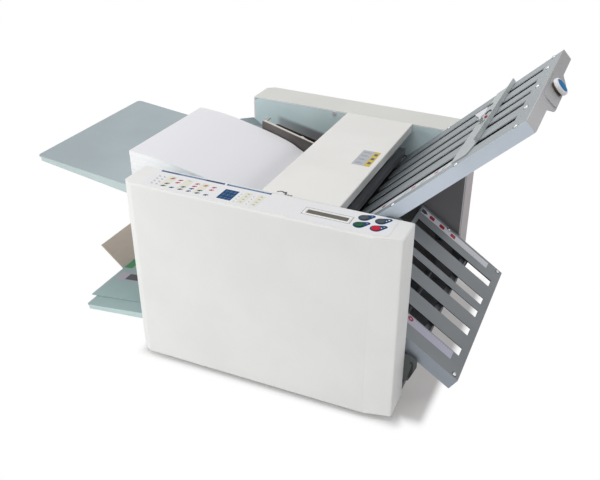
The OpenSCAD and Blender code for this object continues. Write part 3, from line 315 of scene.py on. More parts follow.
def slottedPaint():  # plate of the upper table: its sheared edges catch the light as a painted highlight, and a painted reflection of the dark lid darkens it towards the bottom
    b = Board("table paint")
    bright = b.ramp(b.axis("X"), *upperTable["reflectionFades"])
    face = b.mix(bright, linear(upperTable["darkReflection"]), linear(upperTable["bright"]))
    cloud = b.ramp(b.noise(6, 3, seed=5), 0.3, 0.7)
    face = b.mix(cloud * 0.25, face, linear(upperTable["cloud"]))
    edge = b.ramp(b.above("upper"), *sheared, 1.0, 0.0)
    return peelGrain(b, b.mix(edge, face, linear(upperTable["edge"])), 0.36, 0.5, 0.08, 0.1 * mm)


def panPaint():  # pan of the upper table: light rails outside, a black floor under the slots as painted shade
    b = Board("pan paint")
    n, y = b.above("upper"), b.axis("Y")
    bottom, top = upperTable["inside"]
    front, back = upperTable["walls"]
    inside = (n > bottom) * (n < top) * (y > front) * (y < back)
    tone = b.mix(inside, clouded(b, finish["tableRail"], 0.94), linear(upperTable["floor"]))
    return peelGrain(b, tone, 0.36, 0.5, 0.08, 0.1 * mm)


def stackerPaint():  # painted base, bare stop plate lightened as painted light
    b = Board("stacker finish")
    bare = b.above("tray") > 2.1 * mm
    lines = b.noise(40, 5, 0.6, stretch=(60, 1, 60))
    # the bare plate's colour is lighter than its own: painted light for the shade it stands in
    metal = b.mix(b.ramp(lines, 0.3, 0.7), linear((248, 231, 215)), linear((234, 217, 201)))
    tone = b.mix(bare, clouded(b, finish["tray"], 0.94, 8), metal)
    return brushGrain(b, lines, tone, bare * 0.15, 0.42, 0.56, 0.1)


lowerTable = {
    # painted shade: the dark colour of the slots' sheared edges
    "edge": (44, 46, 50), "slots": (-0.178, 0.174),
    # painted shade: the darker colour deeper inside the pan
    "deepShade": (112, 114, 119), "deepBelow": -2 * mm, "rails": (-0.1792, 0.1752)}


def lowerPlatePaint():  # slots of the lower plate have dark sheared edges: painted shade
    b = Board("lower table paint")
    front, back = lowerTable["slots"]
    inner = (b.axis("Y") > front) * (b.axis("Y") < back)
    edge = b.ramp(b.above("lower"), *sheared, 1.0, 0.0) * inner
    return peelGrain(b, b.mix(edge, clouded(b, finish["lowerTable"], 0.92), linear(lowerTable["edge"])))


def lowerPanPaint():  # pan of the lower table: grey inside and darker deeper down as painted shade, blue grey on the outer rails
    b = Board("lower pan paint")
    front, back = lowerTable["rails"]
    outer = (b.axis("Y") < front).most(b.axis("Y") > back)
    deepShade = b.above("lower") < lowerTable["deepBelow"]
    within = b.mix(deepShade, linear(finish["lowerTable"]), linear(lowerTable["deepShade"]))
    return peelGrain(b, b.mix(outer, within, clouded(b, finish["lowerRail"])), 0.38, 0.52, 0.08, 0.1 * mm)


def capPaint():  # end cap, paler towards the front rail and darker towards the back as painted shade
    b = Board("end cap plastic")
    along = b.ramp(b.axis("Y"), -0.16, 0.10)
    tone = b.mix(along, linear(finish["endCap"]), dim(finish["endCap"], 0.84))
    return sparkGrain(b, tone, reach=0.1 * mm)


catch = {"colour": (16, 16, 17), "top": (0.2534, 0.0847), "length": 31 * mm, "lean": 0.11, "tip": 0.9 * mm}


def hookPaint():  # brackets, with the black catch that the lower table hangs on
    b = Board("bracket paint")
    x, z = catch["top"]
    down = z - b.axis("Z")
    widening = down * catch["lean"]
    side = abs(b.axis("X") - x + widening)
    inside = (side < widening + catch["tip"]) * (down > 0.0) * (down < catch["length"])
    tone = b.mix(inside, clouded(b, finish["bracket"], 0.92), linear(catch["colour"]))
    return peelGrain(b, tone, 0.33, 0.48, 0.2)


# painted highlight along the guide's top edge, painted shade darkening its face towards the lid
guide = {"edgeEnds": (-0.147, -0.009), "edge": (-2.8 * mm, -1.2 * mm), "darkens": (-0.12, -0.01)}


def guideSheet():  # bare side guide; a painted highlight along its folded top edge, and painted shade on its face towards the lid
    b = Board("bare sheet")
    top = {}  # height of the guide's top at each X of its mesh
    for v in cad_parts["side_guide_rear"].data.vertices:
        x = round(v.co.x, 4)
        top[x] = max(top.get(x, -1), v.co.z)
    x0, x1 = guide["edgeEnds"]
    z0 = max(z for x, z in top.items() if x < x0 + 0.02)
    z1 = max(z for x, z in top.items() if x > x1 - 0.004)
    edge = b.axis("Z") - z0 - (b.axis("X") - x0) * ((z1 - z0) / (x1 - x0))
    dark = b.ramp(b.axis("X"), *guide["darkens"]) * 0.7
    face = b.mix(dark, smudged(b, finish["bare"], 0.88), dim(finish["bare"], 0.45))
    tone = b.mix(b.ramp(edge, *guide["edge"]), face, linear(finish["guideEdgeHighlight"]))
    return brushGrain(b, b.noise(40, 5, 0.6, stretch=(1, 40, 40)), tone, 0.6, 0.36, 0.54)


rearLow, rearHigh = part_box("rear_cover")
splits = {  # places between which a finish changes its tone: painted light and shade on the covers, the feed table and the tray, two colours of metal on the pins
    "cover": (0.1903, 0.1937), "rear": (rearHigh[0] - 1.4 * mm, rearHigh[0] - 0.4 * mm),
    "feed": (-0.1746, -0.1742), "tray": (-0.1864, -0.1862), "pins": (0.13, 0.14)}
polished = brushedMetal("polished steel", finish["polished"], rough=0.16, along=(60, 1, 60))
navyInk = printed("navy ink", finish["navy"], 0.6, 0.15)

nodeFinish = [
    (coverPaint("cover plastic", finish["cover"], finish["coverEndLit"], splits["cover"]), ["front_cover"]),
    (coverPaint("rear cover plastic", finish["rearCover"], finish["rearEndShaded"], splits["rear"],
                rearLow[1] + 0.6 * mm), ["rear_cover"]),
    (mouldedPlastic("lid plastic", finish["lid"], 0.985), ["lid"]),
    # the lighter front rims of the feed table and the tray are painted light
    (twoToneAndLitRim("feed table paint", finish["feedRimLit"], finish["coolGrey"], splits["feed"], "Y"), ["feed_table"]),
    (sheetPaint("blue grey paint", finish["coolGrey"]), ["hopper_floor"]),
    (twoToneAndLitRim("tray paint", finish["trayRimLit"], finish["tray"], splits["tray"], "Y"), ["exit_tray"]),
    (stackerPaint(), ["stacker"]),
    (wallPaint(), ["front_frame", "rear_frame"]),
    (slottedPaint(), ["upper_plate"]),
    (sheetPaint("stop paint", finish["stop"], rough=0.38, depth=0.08), ["upper_stop"]),
    (panPaint(), ["upper_pan"]),
    (capPaint(), ["upper_end_cap"]),
    (lowerPlatePaint(), ["lower_plate"]),
    (lowerPanPaint(), ["lower_pan"]),
    (sheetPaint("crossbar paint", finish["crossbar"]), ["crossbar"]),
    (sheetPaint("dark paint", finish["dark"]), ["lower_stop", "tie_bars"]),
    (sheetPaint("base pan paint", finish["basePan"]), ["base_pan"]),
    (sheetPaint("black enamel", finish["black"], rough=0.35), ["motor"]),
    (hookPaint(), ["table_brackets"]),
    (mouldedPlastic("black plastic", finish["black"], 0.9), ["separator", "power_inlet", "power_switch"]),
    (brushedMetal("screw steel", finish["screw"], rough=0.3, metal=0.25), ["cover_screws"]),
    (brushedMetal("zinc plate", finish["zinc"]), [
        "paper_guides", "power_supply", "drive_pulleys", "motor_pulley", "lead_screw"]),
    (polished, ["guide_knob_front", "guide_knob_rear"]),
    (twoToneAndLitRim("pin metal", finish["pinLow"], finish["pinHigh"], splits["pins"], rough=0.3), ["table_pins"]),
    (guideSheet(), ["side_guide_front", "side_guide_rear"]),
    (brushedMetal("sintered bronze", finish["bronze"], rough=0.4), ["roller_bearings"]),
    (mouldedPlastic("nylon", finish["ivory"], 0.95, rough=0.4), [
        "roller_gear_1", "roller_gear_2", "roller_gear_3", "roller_gear_4", "exit_idler"]),
    (rubber("roller rubber", finish["tyre"]), [
        "fold_roller_1", "fold_roller_2", "fold_roller_3", "fold_roller_4", "feed_roller", "exit_roller",
        "drive_belts"]),
    (rubber("foot rubber"), ["feet"]),
    (printed("film", finish["film"], 0.38), ["panel_overlay"]),
    (printed("board laminate", finish["laminate"]), ["control_board"])]
for material, names in nodeFinish:
    for name in names:
        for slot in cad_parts[name].material_slots:
            slot.material = material


# mesh helpers

def built(name, bm, mats, angle=None):  # a mesh object; folds sharper than angle stay sharp
    if angle:
        bmesh.ops.recalc_face_normals(bm, faces=bm.faces)
    mesh = bpy.data.meshes.new(name)
    bm.to_mesh(mesh)
    bm.free()
    for mat in mats:
        mesh.materials.append(mat)
    if angle:
        mesh.shade_smooth()
        mesh.set_sharp_from_angle(angle=radians(angle))
    obj = bpy.data.objects.new(name, mesh)
    bpy.context.scene.collection.objects.link(obj)
    return obj


def circle(radius, z, sides):
    turns = [2 * pi * i / sides for i in range(sides)]
    return [(radius * cos(a), radius * sin(a), z) for a in turns]


def middle(low, high):
    return (low[0] + high[0]) / 2, (low[1] + high[1]) / 2


class Shape:  # gathers solids, each with a finish, into one piece
    def __init__(self, name, *mats):
        self.name = name
        self.bm = bmesh.new()
        self.mats = mats

    def solid(self, loops, mat=0, move=None):  # closed skin through rings of equal length
        move = move or Matrix()
        rings = [[self.bm.verts.new(move @ Vector(p)) for p in ring] for ring in loops]
        n = len(rings[0])
        faces = [self.bm.faces.new(rings[0][::-1]), self.bm.faces.new(rings[-1])]
        for a, b in zip(rings, rings[1:]):
            for i in range(n):
                faces.append(self.bm.faces.new((a[i], a[(i + 1) % n], b[(i + 1) % n], b[i])))
        for f in faces:
            f.material_index = mat
        return faces

    def prism(self, outline, low, high, mat=0, move=None):  # outline in X-Y, from low to high in Z
        return self.solid([[(x, y, z) for x, y in outline] for z in (low, high)], mat, move)

    def box(self, low, high, mat=0, move=None):
        (x0, y0, z0), (x1, y1, z1) = low, high
        return self.prism([(x0, y0), (x1, y0), (x1, y1), (x0, y1)], z0, z1, mat, move)

    def lathe(self, profile, mat=0, move=None, sides=48):  # profile of (radius, height), turned about Z
        return self.solid([circle(r, z, sides) for r, z in profile], mat, move)

    def done(self, body, *replaced, angle=35):
        obj = built(self.name, self.bm, self.mats, angle)
        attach(obj, body)
        if replaced:
            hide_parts(*replaced)
        return obj


def roundedRect(cx, cy, w, h, r):
    n = 5  # steps of each corner
    pts = []
    for sx, sy, a in ((1, 1, 0), (-1, 1, 90), (-1, -1, 180), (1, -1, 270)):
        for i in range(n + 1):
            t = radians(a + 90 * i / n)
            pts.append((cx + sx * (w / 2 - r) + r * cos(t), cy + sy * (h / 2 - r) + r * sin(t)))
    return pts


def onPlane(plane):  # frame of a sloping plate: X along its slope, Z out of it
    slope, x, z = planes[plane]
    return Matrix.Translation((x, 0, z)) @ Matrix.Rotation(radians(-slope), 4, "Y")


upperPlace = onPlane("upper")
lowerPlace = onPlane("lower")
trayPlace = onPlane("tray")


# stack of sheets

print("paper")
paper = {
    "sheets": 46, "slices": 44, "jitter": 0.35 * mm, "seed": 7,
    "lean": 7 * mm, "tilt": 4 * mm, "skew": 15 * mm, "inset": 0.4 * mm,
    "kink": (-0.178, 0.2843), "tableFall": 6,  # X and Z where the bottom bends; degrees beyond it
    "top": [(0.0, 0.3528), (0.13, 0.3506), (0.24, 0.3468), (0.33, 0.3420), (0.44, 0.3352), (0.535, 0.3294),
            (0.63, 0.3222), (0.725, 0.3135), (0.80, 0.3026), (0.86, 0.2976), (1.0, 0.2955)]}


def paperMaterial(name, stacked):  # stacked: the many sheet edges that a side shows
    b = Board(name)
    fibre = b.noise(700, 4, 0.6)
    tone = b.mix(b.ramp(fibre, 0.3, 0.7) * 0.06, linear((243, 243, 247)), linear((220, 220, 228)))
    if stacked:
        lines = b.noise(2600, 2, 0.5, stretch=(0.01, 0.01, 1))
        tone = b.mix(b.ramp(lines, 0.42, 0.62) * 0.06, linear((252, 252, 253)), linear((216, 216, 222)))
        # the sides glow faintly: painted light
        b.finish(Emission_Color=(1, 1, 1, 1), Emission_Strength=0.05)
    return b.finish(Base_Color=tone, Roughness=0.85, Normal=b.bump(fibre, 0.15, 0.1 * mm))


def alongTop(t):  # smooth curve through the stack's measured top line
    pts = paper["top"]
    k = max(i for i in range(len(pts) - 1) if pts[i][0] <= t or i == 0)
    (t0, z0), (t1, z1) = pts[k], pts[k + 1]
    before, after = pts[max(0, k - 1)], pts[min(len(pts) - 1, k + 2)]
    m0 = (z1 - before[1]) / (t1 - before[0])
    m1 = (after[1] - z0) / (after[0] - t0)
    w = t1 - t0
    u = (t - t0) / w
    return (z0 * (1 + 2 * u) + m0 * w * u) * (1 - u) ** 2 + (z1 * (3 - 2 * u) + m1 * w * (u - 1)) * u * u


def stackMesh():
    low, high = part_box("paper_stack")
    rnd = random.Random(paper["seed"])
    lean, inset = paper["lean"], paper["inset"]
    far, gate = low[0], high[0] - lean
    kink, kinkTop = paper["kink"]
    tableFall = tan(radians(paper["tableFall"]))

    def bottom(x):
        if x < kink:
            return kinkTop - (x - kink) * tableFall
        return kinkTop + (low[2] - kinkTop) * (x - kink) / (gate - kink)

    rows = []
    n = paper["sheets"]
    m = paper["slices"]
    for k in range(n + 1):
        h = k / n
        dx = rnd.uniform(-1, 1) * paper["jitter"]
        dy = rnd.uniform(-1, 1) * paper["jitter"]
        if k in (0, n):
            dx = dy = 0
        line = []
        for i in range(m + 1):
            t = i / m
            xb = far + (gate - far) * t
            x = xb * (1 - h) + (far + lean + (high[0] - far - lean) * t) * h
            line.append((x + dx, bottom(xb) * (1 - h) + alongTop(t) * h, h, t))
        rows.append((line, dy))
    bm = bmesh.new()
    grid = []
    for line, dy in rows:
        pair = []
        for y, side in ((low[1] + inset, -1), (high[1] - inset, 1)):  # the rear edge stands a little higher
            skew, tilt = side * paper["skew"] / 2, side * paper["tilt"]
            pair.append([bm.verts.new((x + skew * h * (1 - t), y + dy, z + tilt * h * (1 - t ** 6)))
                         for x, z, h, t in line])
        grid.append(pair)
    for below, above in zip(grid, grid[1:]):
        for a, b in zip(below, above):
            for i in range(m):
                bm.faces.new((a[i], a[i + 1], b[i + 1], b[i]))
        for i in (0, m):
            bm.faces.new((below[0][i], below[1][i], above[1][i], above[0][i]))
    for front, back in (grid[0], grid[n]):
        for i in range(m):
            flat = bm.faces.new((front[i], back[i], back[i + 1], front[i + 1]))
            flat.material_index = 1
    obj = built("sheetStack", bm, [paperMaterial("paper edges", True), paperMaterial("paper", False)], 30)
    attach(obj, "paper_stack")
    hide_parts("paper_stack")


stackMesh()


# control panel

print("control panel")
panel = {
    "inkThick": 0.06 * mm, "layer": 0.02 * mm,  # the rest is in mm
    "barY": (-197.4, -192.6),
    "bars": [(-199.4, -164.2, "navy"), (-164.2, -115.7, "pale"), (-115.7, -81.3, "navy"),
             (-77.1, 2.1, "pale")],
    "dash": 2.8,
    "bands": [(-175.4, -161), (-144.8, -130.6), (-113.8, -101), (-36.4, -24), (-13.6, -1.6)],
    "bandY": (-243, -205.8),
    "signWide": 7.6,
    "rows": [  # of signs: Y, ink and the X of each
        (-213, "red", (-167, -151.8, -120.8, -105.5, -90.4)),
        (-222.2, "red", (-152, -121, -90.2)),
        (-231.2, "blue", (-166, -136, -120.8, -106)),
        (-240.2, "blue", (-167.5, -152, -136.5, -121.2, -105.7, -90.1))],
    "square": (-71.2, -46.8, -241.6, -209),
    "arrow": (12.5, -187.5), "arrowHead": [(15.6, -182.4), (20.4, -177.6), (23.2, -184.0)]}
inks = {
    "navy": navyInk,
    "pale": printed("pale blue ink", (116, 142, 172), 0.6, 0.15),
    "beige": printed("beige ink", (222, 221, 205)),
    "red": printed("red ink", (186, 62, 80), 0.6, 0.15),
    "blue": printed("blue ink", (34, 66, 110), 0.6, 0.15),
    "grey": printed("grey ink", (150, 150, 152)),
    "dark": printed("dark ink", (66, 66, 72), 0.6, 0.15)}
whiteInk = printed("white ink", (240, 240, 240))


def printing():
    s = Shape("panelPrinting", *inks.values())
    order = list(inks)
    thick = panel["inkThick"]

    def patch(x0, y0, x1, y1, ink, lift=0):
        z = filmTop + lift * panel["layer"]
        s.box((x0 * mm, y0 * mm, z), (x1 * mm, y1 * mm, z + thick), order.index(ink))

    def sign(x, y, ink):  # small stepped mark
        wide = panel["signWide"]
        patch(x - wide / 2, y - 2.6, x + wide * 0.2, y - 0.4, ink, 1)
        patch(x - wide * 0.2, y - 0.2, x + wide / 2, y + 2.2, ink, 1)
        patch(x - wide * 0.36, y - 0.4, x + wide * 0.02, y + 0.9, ink, 1)

    def arc(across, along):
        x, y = panel["arrow"]
        return [(x + across * sin(radians(a)), y + along * cos(radians(a))) for a in range(-62, 42, 8)]

    y0, y1 = panel["barY"]
    for x0, x1, ink in panel["bars"]:
        patch(x0, y0, x1, y1, ink)
    for i in range(28):  # dashes along the first bars
        x = -196 + i * panel["dash"]
        ink = "navy" if i % 3 == 0 and i > 11 else "pale"
        patch(x, y0 + 1.5, x + (2.0 if i % 3 else 1.2), y1 - 1.3, ink, 1)
    for i in range(27):  # dashes along the last bar
        x = -75 + i * panel["dash"]
        ink = "navy" if i % 3 == 1 else "pale"
        patch(x, y0 + 1.5, x + (2.0 if i % 4 else 1.1), y1 - 1.3, ink, 1)
    patch(-77.1, y0, -73.8, y1, "navy", 2)
    patch(-1.2, y0, 2.1, y1, "navy", 2)
    c0, c1 = panel["bandY"]
    for x0, x1 in panel["bands"]:
        patch(x0, c0, x1, c1, "beige")
    for y, ink, places in panel["rows"]:
        for x in places:
            sign(x, y, ink)
    for x in (-137.6, -167):  # fainter grey marks
        patch(x - 3, -208.4, x + 3, -207.6, "grey", 1)
        patch(x - 2.4, -210.4, x + 2.4, -209.7, "grey", 1)
    for i in range(4):  # leading column of small grey signs
        for j in range(2):
            x, y = -191 + j * 9 + i * 0.5, -213 - i * 8.6
            patch(x - 2.4, y - 0.5, x + 2.2, y + 0.4, "grey")
            patch(x - 1.2, y - 2.2, x + 2.8, y - 1.5, "grey")
            patch(x - 2.4, y + 1.3, x - 0.4, y + 2, "grey")
    x0, x1, b0, b1 = panel["square"]
    patch(x0, b0, x1, b1, "navy")
    for i in range(3):
        for j in range(3):
            x, y = x0 + 3.4 + i * 7.2, b1 - 5 - j * 10.6
            patch(x, y - 0.8, x + 4.9, y, "pale", 1)
            patch(x + 0.6, y - 3.6, x + 3.4, y - 2.8, "pale", 1)
            patch(x, y - 5.4, x + 2.2, y - 4.8, "pale", 1)
    for j in range(4):  # marks on the last two bands and beside them
        for x in (-40.2, -18.4):
            y = -214.6 - j * 8.6
            patch(x - 1.3, y - 1.2, x + 0.6, y + 0.6, "grey")
        for band in panel["bands"][-2:]:
            x, y = band[0], -211.4 - j * 9.2
            patch(x + 4.4, y, x + 8.2, y + 1.8, "grey", 1)
    for outline in (arc(8.2, 9.4) + arc(6.6, 7.6)[::-1], panel["arrowHead"]):  # curved arrow
        s.prism([(x * mm, y * mm) for x, y in outline], filmTop, filmTop + thick, order.index("dark"))
    for x in (20.6, 25.4, 30.2):
        patch(x, -187.2, x + 3.6, -185.4, "dark")
    s.done("machine")


printing()

tail = {"reach": (10.9, 8.9), "turn": 0.6825, "big": 9.2 * mm, "small": 4.2 * mm, "dot": 1.5 * mm,
        "dotThick": 0.03 * mm}


def keyTails():  # printed drop around each key, with a dot at its tip
    s = Shape("keyTails", navyInk, whiteInk, inks["pale"])
    d = hypot(*tail["reach"]) * mm
    thick = panel["inkThick"]
    dotTop = thick + tail["dotThick"]
    for name in ("key_grey_1", "key_green", "key_grey_2", "key_red"):
        low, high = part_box(name)
        place = Matrix.Translation((*middle(low, high), filmTop)) @ Matrix.Rotation(tail["turn"], 4, "Z")
        outline = []
        for i in range(25):  # large end
            a = radians(70 + 220 * i / 24)
            outline.append((tail["big"] * cos(a), tail["big"] * sin(a)))
        for i in range(13):  # small end
            a = radians(-75 + 150 * i / 12)
            outline.append((d + tail["small"] * cos(a), tail["small"] * sin(a)))
        s.prism(outline, 0, thick, 0, place)
        s.lathe([(tail["dot"], thick), (tail["dot"], dotTop)], 1 if name == "key_grey_2" else 2,
                place @ Matrix.Translation((d - 1 * mm, 0, 0)), 16)
        if name in ("key_grey_2", "key_red"):
            s.box((7.4 * mm, -2.6 * mm, thick), (9.2 * mm, -0.2 * mm, dotTop), 1, place)
    s.done("machine")


keyTails()

keyFinish = {
    "key_grey_1": glossPlastic("grey key", (70, 74, 80), 0.6, 0.25),
    "key_green": glossPlastic("green key", (8, 78, 42), 0.6, 0.25),
    "key_grey_2": glossPlastic("grey key 2", (70, 74, 80), 0.6, 0.25),
    "key_red": glossPlastic("red key", (190, 14, 50), 0.6, 0.25)}
keyShape = {
    "stem": 2.5 * mm, "stemTop": 9 * mm,
    "cap": [(0.96, 8.9), (1, 8.4), (1, 1.0), (0.985, 0.6), (0.94, 0.3), (0.84, 0.12), (0.7, 0.05),
            (0.5, 0.2), (0.25, 0.32)]}  # share of the radius, mm below the top


def keyCaps():
    for name, mat in keyFinish.items():
        low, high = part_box(name)
        r = (high[0] - low[0]) / 2
        top = high[2]
        profile = [(keyShape["stem"], low[2]), (keyShape["stem"], top - keyShape["stemTop"])]
        profile += [(r * share, top - down * mm) for share, down in keyShape["cap"]]
        profile.append((0.05 * mm, top - 0.36 * mm))
        s = Shape("cap_" + name, mat)
        s.lathe(profile, 0, Matrix.Translation((*middle(low, high), 0)))
        cap = s.done(name, name, angle=50)


keyCaps()

display = {
    "corner": 1.2 * mm, "glassInset": (4.7 * mm, 4.1 * mm), "glass": (1.15 * mm, 1.0 * mm),
    "housingInset": 4 * mm, "line": (0.5 * mm, 1.1 * mm), "lineThick": 0.05 * mm}


def displayPiece():
    low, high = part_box("display")
    b = Board("liquid crystal")
    cells = b.node("ShaderNodeTexBrick", {"offset": 0.0}, {
        "Vector": b.place(), "Scale": 190, "Mortar Size": 0.06, "Brick Width": 0.55, "Row Height": 0.9,
        "Color1": linear((96, 92, 84)), "Color2": linear((104, 100, 92)),
        "Mortar": linear((118, 114, 106))})
    sheen = b.ramp(b.noise(30, 3), 0.3, 0.7)
    tone = b.mix(sheen * 0.3, cells, linear((112, 108, 101)))
    crystal = b.finish(Base_Color=tone, Roughness=0.42, Specular_IOR_Level=0.12)
    bezel = mouldedPlastic("bezel plastic", (246, 246, 245), 0.98, rough=0.35)
    s = Shape("displayUnit", bezel, crystal, printed("bezel line", (96, 98, 102)))
    cx, cy = middle(low, high)
    (x0, y0), (x1, y1), top = low[:2], high[:2], high[2]
    steps = [(0, 0, bodyTop), (0, 0, top - 0.4 * mm), (0.5, 0.5, top), (3.6, 3.2, top),
             (4.6, 4.0, top - 1.1 * mm)]
    rings = []
    for ix, iy, z in steps:
        outline = roundedRect(cx, cy, x1 - x0 - 2 * ix * mm, y1 - y0 - 2 * iy * mm, display["corner"])
        rings.append([(x, y, z) for x, y in outline])
    s.solid(rings)
    ix, iy = display["glassInset"]
    under, over = display["glass"]
    s.box((x0 + ix, y0 + iy, top - under), (x1 - ix, y1 - iy, top - over), 1)
    i = display["housingInset"]
    s.box((x0 + i, y0 + i, low[2]), (x1 - i, y1 - i, bodyTop - 0.5 * mm))
    i, o = display["line"]  # printed line around the display
    for a, b, c, d in ((x0 - o, y0 - o, x1 + o, y0 - i), (x0 - o, y1 + i, x1 + o, y1 + o),
                       (x0 - o, y0 - o, x0 - i, y1 + o), (x1 + i, y0 - o, x1 + o, y1 + o)):
        s.box((a, b, filmTop), (c, d, filmTop + display["lineThick"]), 2)
    s.done("machine", "display")


displayPiece()


# screws, knob and labels

print("small pieces")
screw = {"radius": 3.9 * mm, "height": 2.2 * mm, "washer": 0.9 * mm, "recess": 1.2 * mm, "sides": 24}


def inMm(pairs):
    return [(a * mm, b * mm) for a, b in pairs]


def crossScrew(s, place, x, y, turn):  # finish 0 for the head, 1 for the recess and the washer; the recess's dark finish is painted shade
    n, r, h = screw["sides"], screw["radius"], screw["height"]
    move = place @ Matrix.Translation((x, y, 0)) @ Matrix.Rotation(turn, 4, "Z")
    washer = r + screw["washer"]
    s.lathe([(washer, 0.02 * mm), (washer, 0.16 * mm)], 1, move, n)
    head = ((r, 0), (r, 0.3 * mm), (r * 0.93, 0.9 * mm), (r * 0.7, h * 0.82), (r * 0.45, h))
    rings = [circle(rr, z, n) for rr, z in head]
    cross = []
    for x, y, z in circle(1, h, n):  # the recess narrows from the ring to a plus sign
        rr = r * (0.42 if max(abs(x), abs(y)) > 0.97 else 0.16)
        cross.append((rr * x, rr * y, z))
    rings += [cross, [(x * 0.55, y * 0.55, z - screw["recess"]) for x, y, z in cross]]
    faces = s.solid(rings, 0, move)
    for f in [faces[1], *faces[-n:]]:
        f.material_index = 1


def tableScrews():
    s = Shape("tableScrewHeads", polished, printed("screw recess", (40, 40, 42)))
    front, back, mid = -180 * mm, 176 * mm, -2 * mm
    for y in (front + 5 * mm, front + 84 * mm, mid + 6 * mm, back - 72 * mm, back - 6 * mm):
        crossScrew(s, upperPlace, 0.172, y, y * 90)
    for x, y in ((-0.057, front + 5 * mm), (0.067, front + 5 * mm), (-0.064, back - 5 * mm)):
        crossScrew(s, upperPlace, x, y, x * 40)
    for x, y in ((0.100, front + 8 * mm), (0.100, back - 8 * mm), (-0.030, back - 6 * mm)):
        crossScrew(s, lowerPlace, x, y, y * 50)
    s.done("machine", "table_screws")


tableScrews()

knob = {
    "spot": (0.1944, -0.002, -0.019), "sides": 120, "ribs": 30, "ribDepth": 0.35 * mm, "disc": 11.4 * mm,
    "hub": [(4.0, 0.01), (11.2, 0), (11.8, 0.4), (11.8, 1.6), (10.4, 2), (10.4, 4.4), (4, 4.4)],  # mm
    "grip": [(9, 4.2, 0), (13.2, 4.3, 0), (14.5, 4.9, 1), (14.8, 5.6, 1), (14.7, 9.4, 1), (13.9, 10.6, 0),
             (12.8, 11.3, 0), (11.6, 11.4, 0)]}  # radius and height in mm, 1 where it is ribbed


def adjustKnob():
    white = glossPlastic("white knob", (236, 236, 236), 0.35)
    blue = glossPlastic("blue disc", (0, 112, 172), 0.6, 0.2)
    hub = brushedMetal("knob hub", (112, 100, 92), rough=0.35)
    s = Shape("adjustKnobTurned", white, blue, hub)
    place = upperPlace @ Matrix.Translation(knob["spot"]) @ Matrix.Rotation(radians(90), 4, "Y")
    s.lathe(inMm(knob["hub"]), 2, place)
    rings = []
    for r, z, ribbed in knob["grip"]:
        ring = []
        for i in range(knob["sides"]):
            a = 2 * pi * i / knob["sides"]
            rr = r * mm - (knob["ribDepth"] * (0.5 - 0.5 * cos(knob["ribs"] * a)) if ribbed else 0)
            ring.append((rr * cos(a), rr * sin(a), z * mm))
        rings.append(ring)
    s.solid(rings, 0, place)
    d = knob["disc"]
    s.lathe([(d, 11.2 * mm), (d, 11.5 * mm), (d * 0.96, 11.68 * mm), (d * 0.6, 11.75 * mm),
             (0.1 * mm, 11.75 * mm)], 1, place, 64)
    s.done("adjust_screw", "adjust_knob", angle=40)


adjustKnob()

scales = {
    "stripThick": 0.12 * mm, "tickThick": 0.02 * mm, "markThick": 0.03 * mm, "step": 0.005,
    "railStrip": (-0.150, -0.156, 0.060, -0.136), "slanted": (-0.118, -0.084, -0.040, -0.005, 0.037),
    "railMarks": (-0.128, -0.092, -0.030, 0.016), "rounded": (-0.071, -0.045, -0.016),
    "arrow": [(-0.089, 0.153), (-0.083, 0.159), (-0.089, 0.166), (-0.097, 0.166), (-0.097, 0.153)]}
stripWhite = printed("scale strip", (226, 226, 234), 0.4)
stripGrey = printed("grey scale strip", (200, 204, 210), 0.45)
stripLilac = printed("lilac strip", (196, 194, 212), 0.4)
tickInk = printed("tick ink", (70, 72, 78))
redMark = printed("red mark", (170, 36, 52))


def scaleStrips():
    t = scales["stripThick"]
    tick, mark = t + scales["tickThick"], t + scales["markThick"]
    white, black, red, lilac, grey = range(5)
    s = Shape("scaleStrips", stripWhite, tickInk, redMark, stripLilac, stripGrey)
    # strip along the front rail of the upper table
    x0, y0, x1, y1 = scales["railStrip"]
    s.box((x0, y0, 0), (x1, y1, t), grey, upperPlace)
    for i in range(41):
        u = -0.146 + i * scales["step"]
        h = 5.5 * mm if i % 5 == 0 else 3 * mm
        s.box((u, y1 - h, t), (u + 0.5 * mm, y1 - 0.2 * mm, tick), black, upperPlace)
    for u in scales["slanted"]:
        low, high = y0 + 0.003, y1 - 0.006
        s.prism([(u - 0.006, low), (u - 0.003, low), (u + 0.005, high), (u + 0.002, high)],
                t, mark, black, upperPlace)
    for u in scales["railMarks"]:
        s.box((u, y0 + 0.006, t), (u + 0.008, y0 + 0.013, mark), red, upperPlace)
    # strips beside the outer slots of the lower table
    s.box((-0.097, 0.150, 0), (0.075, 0.169, t), white, lowerPlace)
    s.box((-0.022, -0.148, 0), (0.083, -0.128, t), lilac, lowerPlace)
    for u in scales["rounded"]:
        s.prism(roundedRect(u, 0.1595, 12 * mm, 12 * mm, 2.6 * mm), t, mark, red, lowerPlace)
    s.prism(scales["arrow"], t, mark, black, lowerPlace)
    ring = lowerPlace @ Matrix.Translation((-0.0105, -0.1345, 0))
    s.lathe([(5.6 * mm, t), (5.6 * mm, t + 0.04 * mm)], red, ring, 28)
    s.lathe([(1.7 * mm, t + 0.04 * mm), (1.7 * mm, t + 0.08 * mm)], lilac, ring, 20)
    for i in range(18):
        u = -0.010 + i * scales["step"]
        s.box((u, 0.151, t), (u + 0.4 * mm, 0.1535 + (0.002 if i % 5 == 0 else 0), tick), black, lowerPlace)
        s.box((u, -0.1315, t), (u + 0.4 * mm, -0.1285, tick), black, lowerPlace)
    s.done("machine")


scaleStrips()

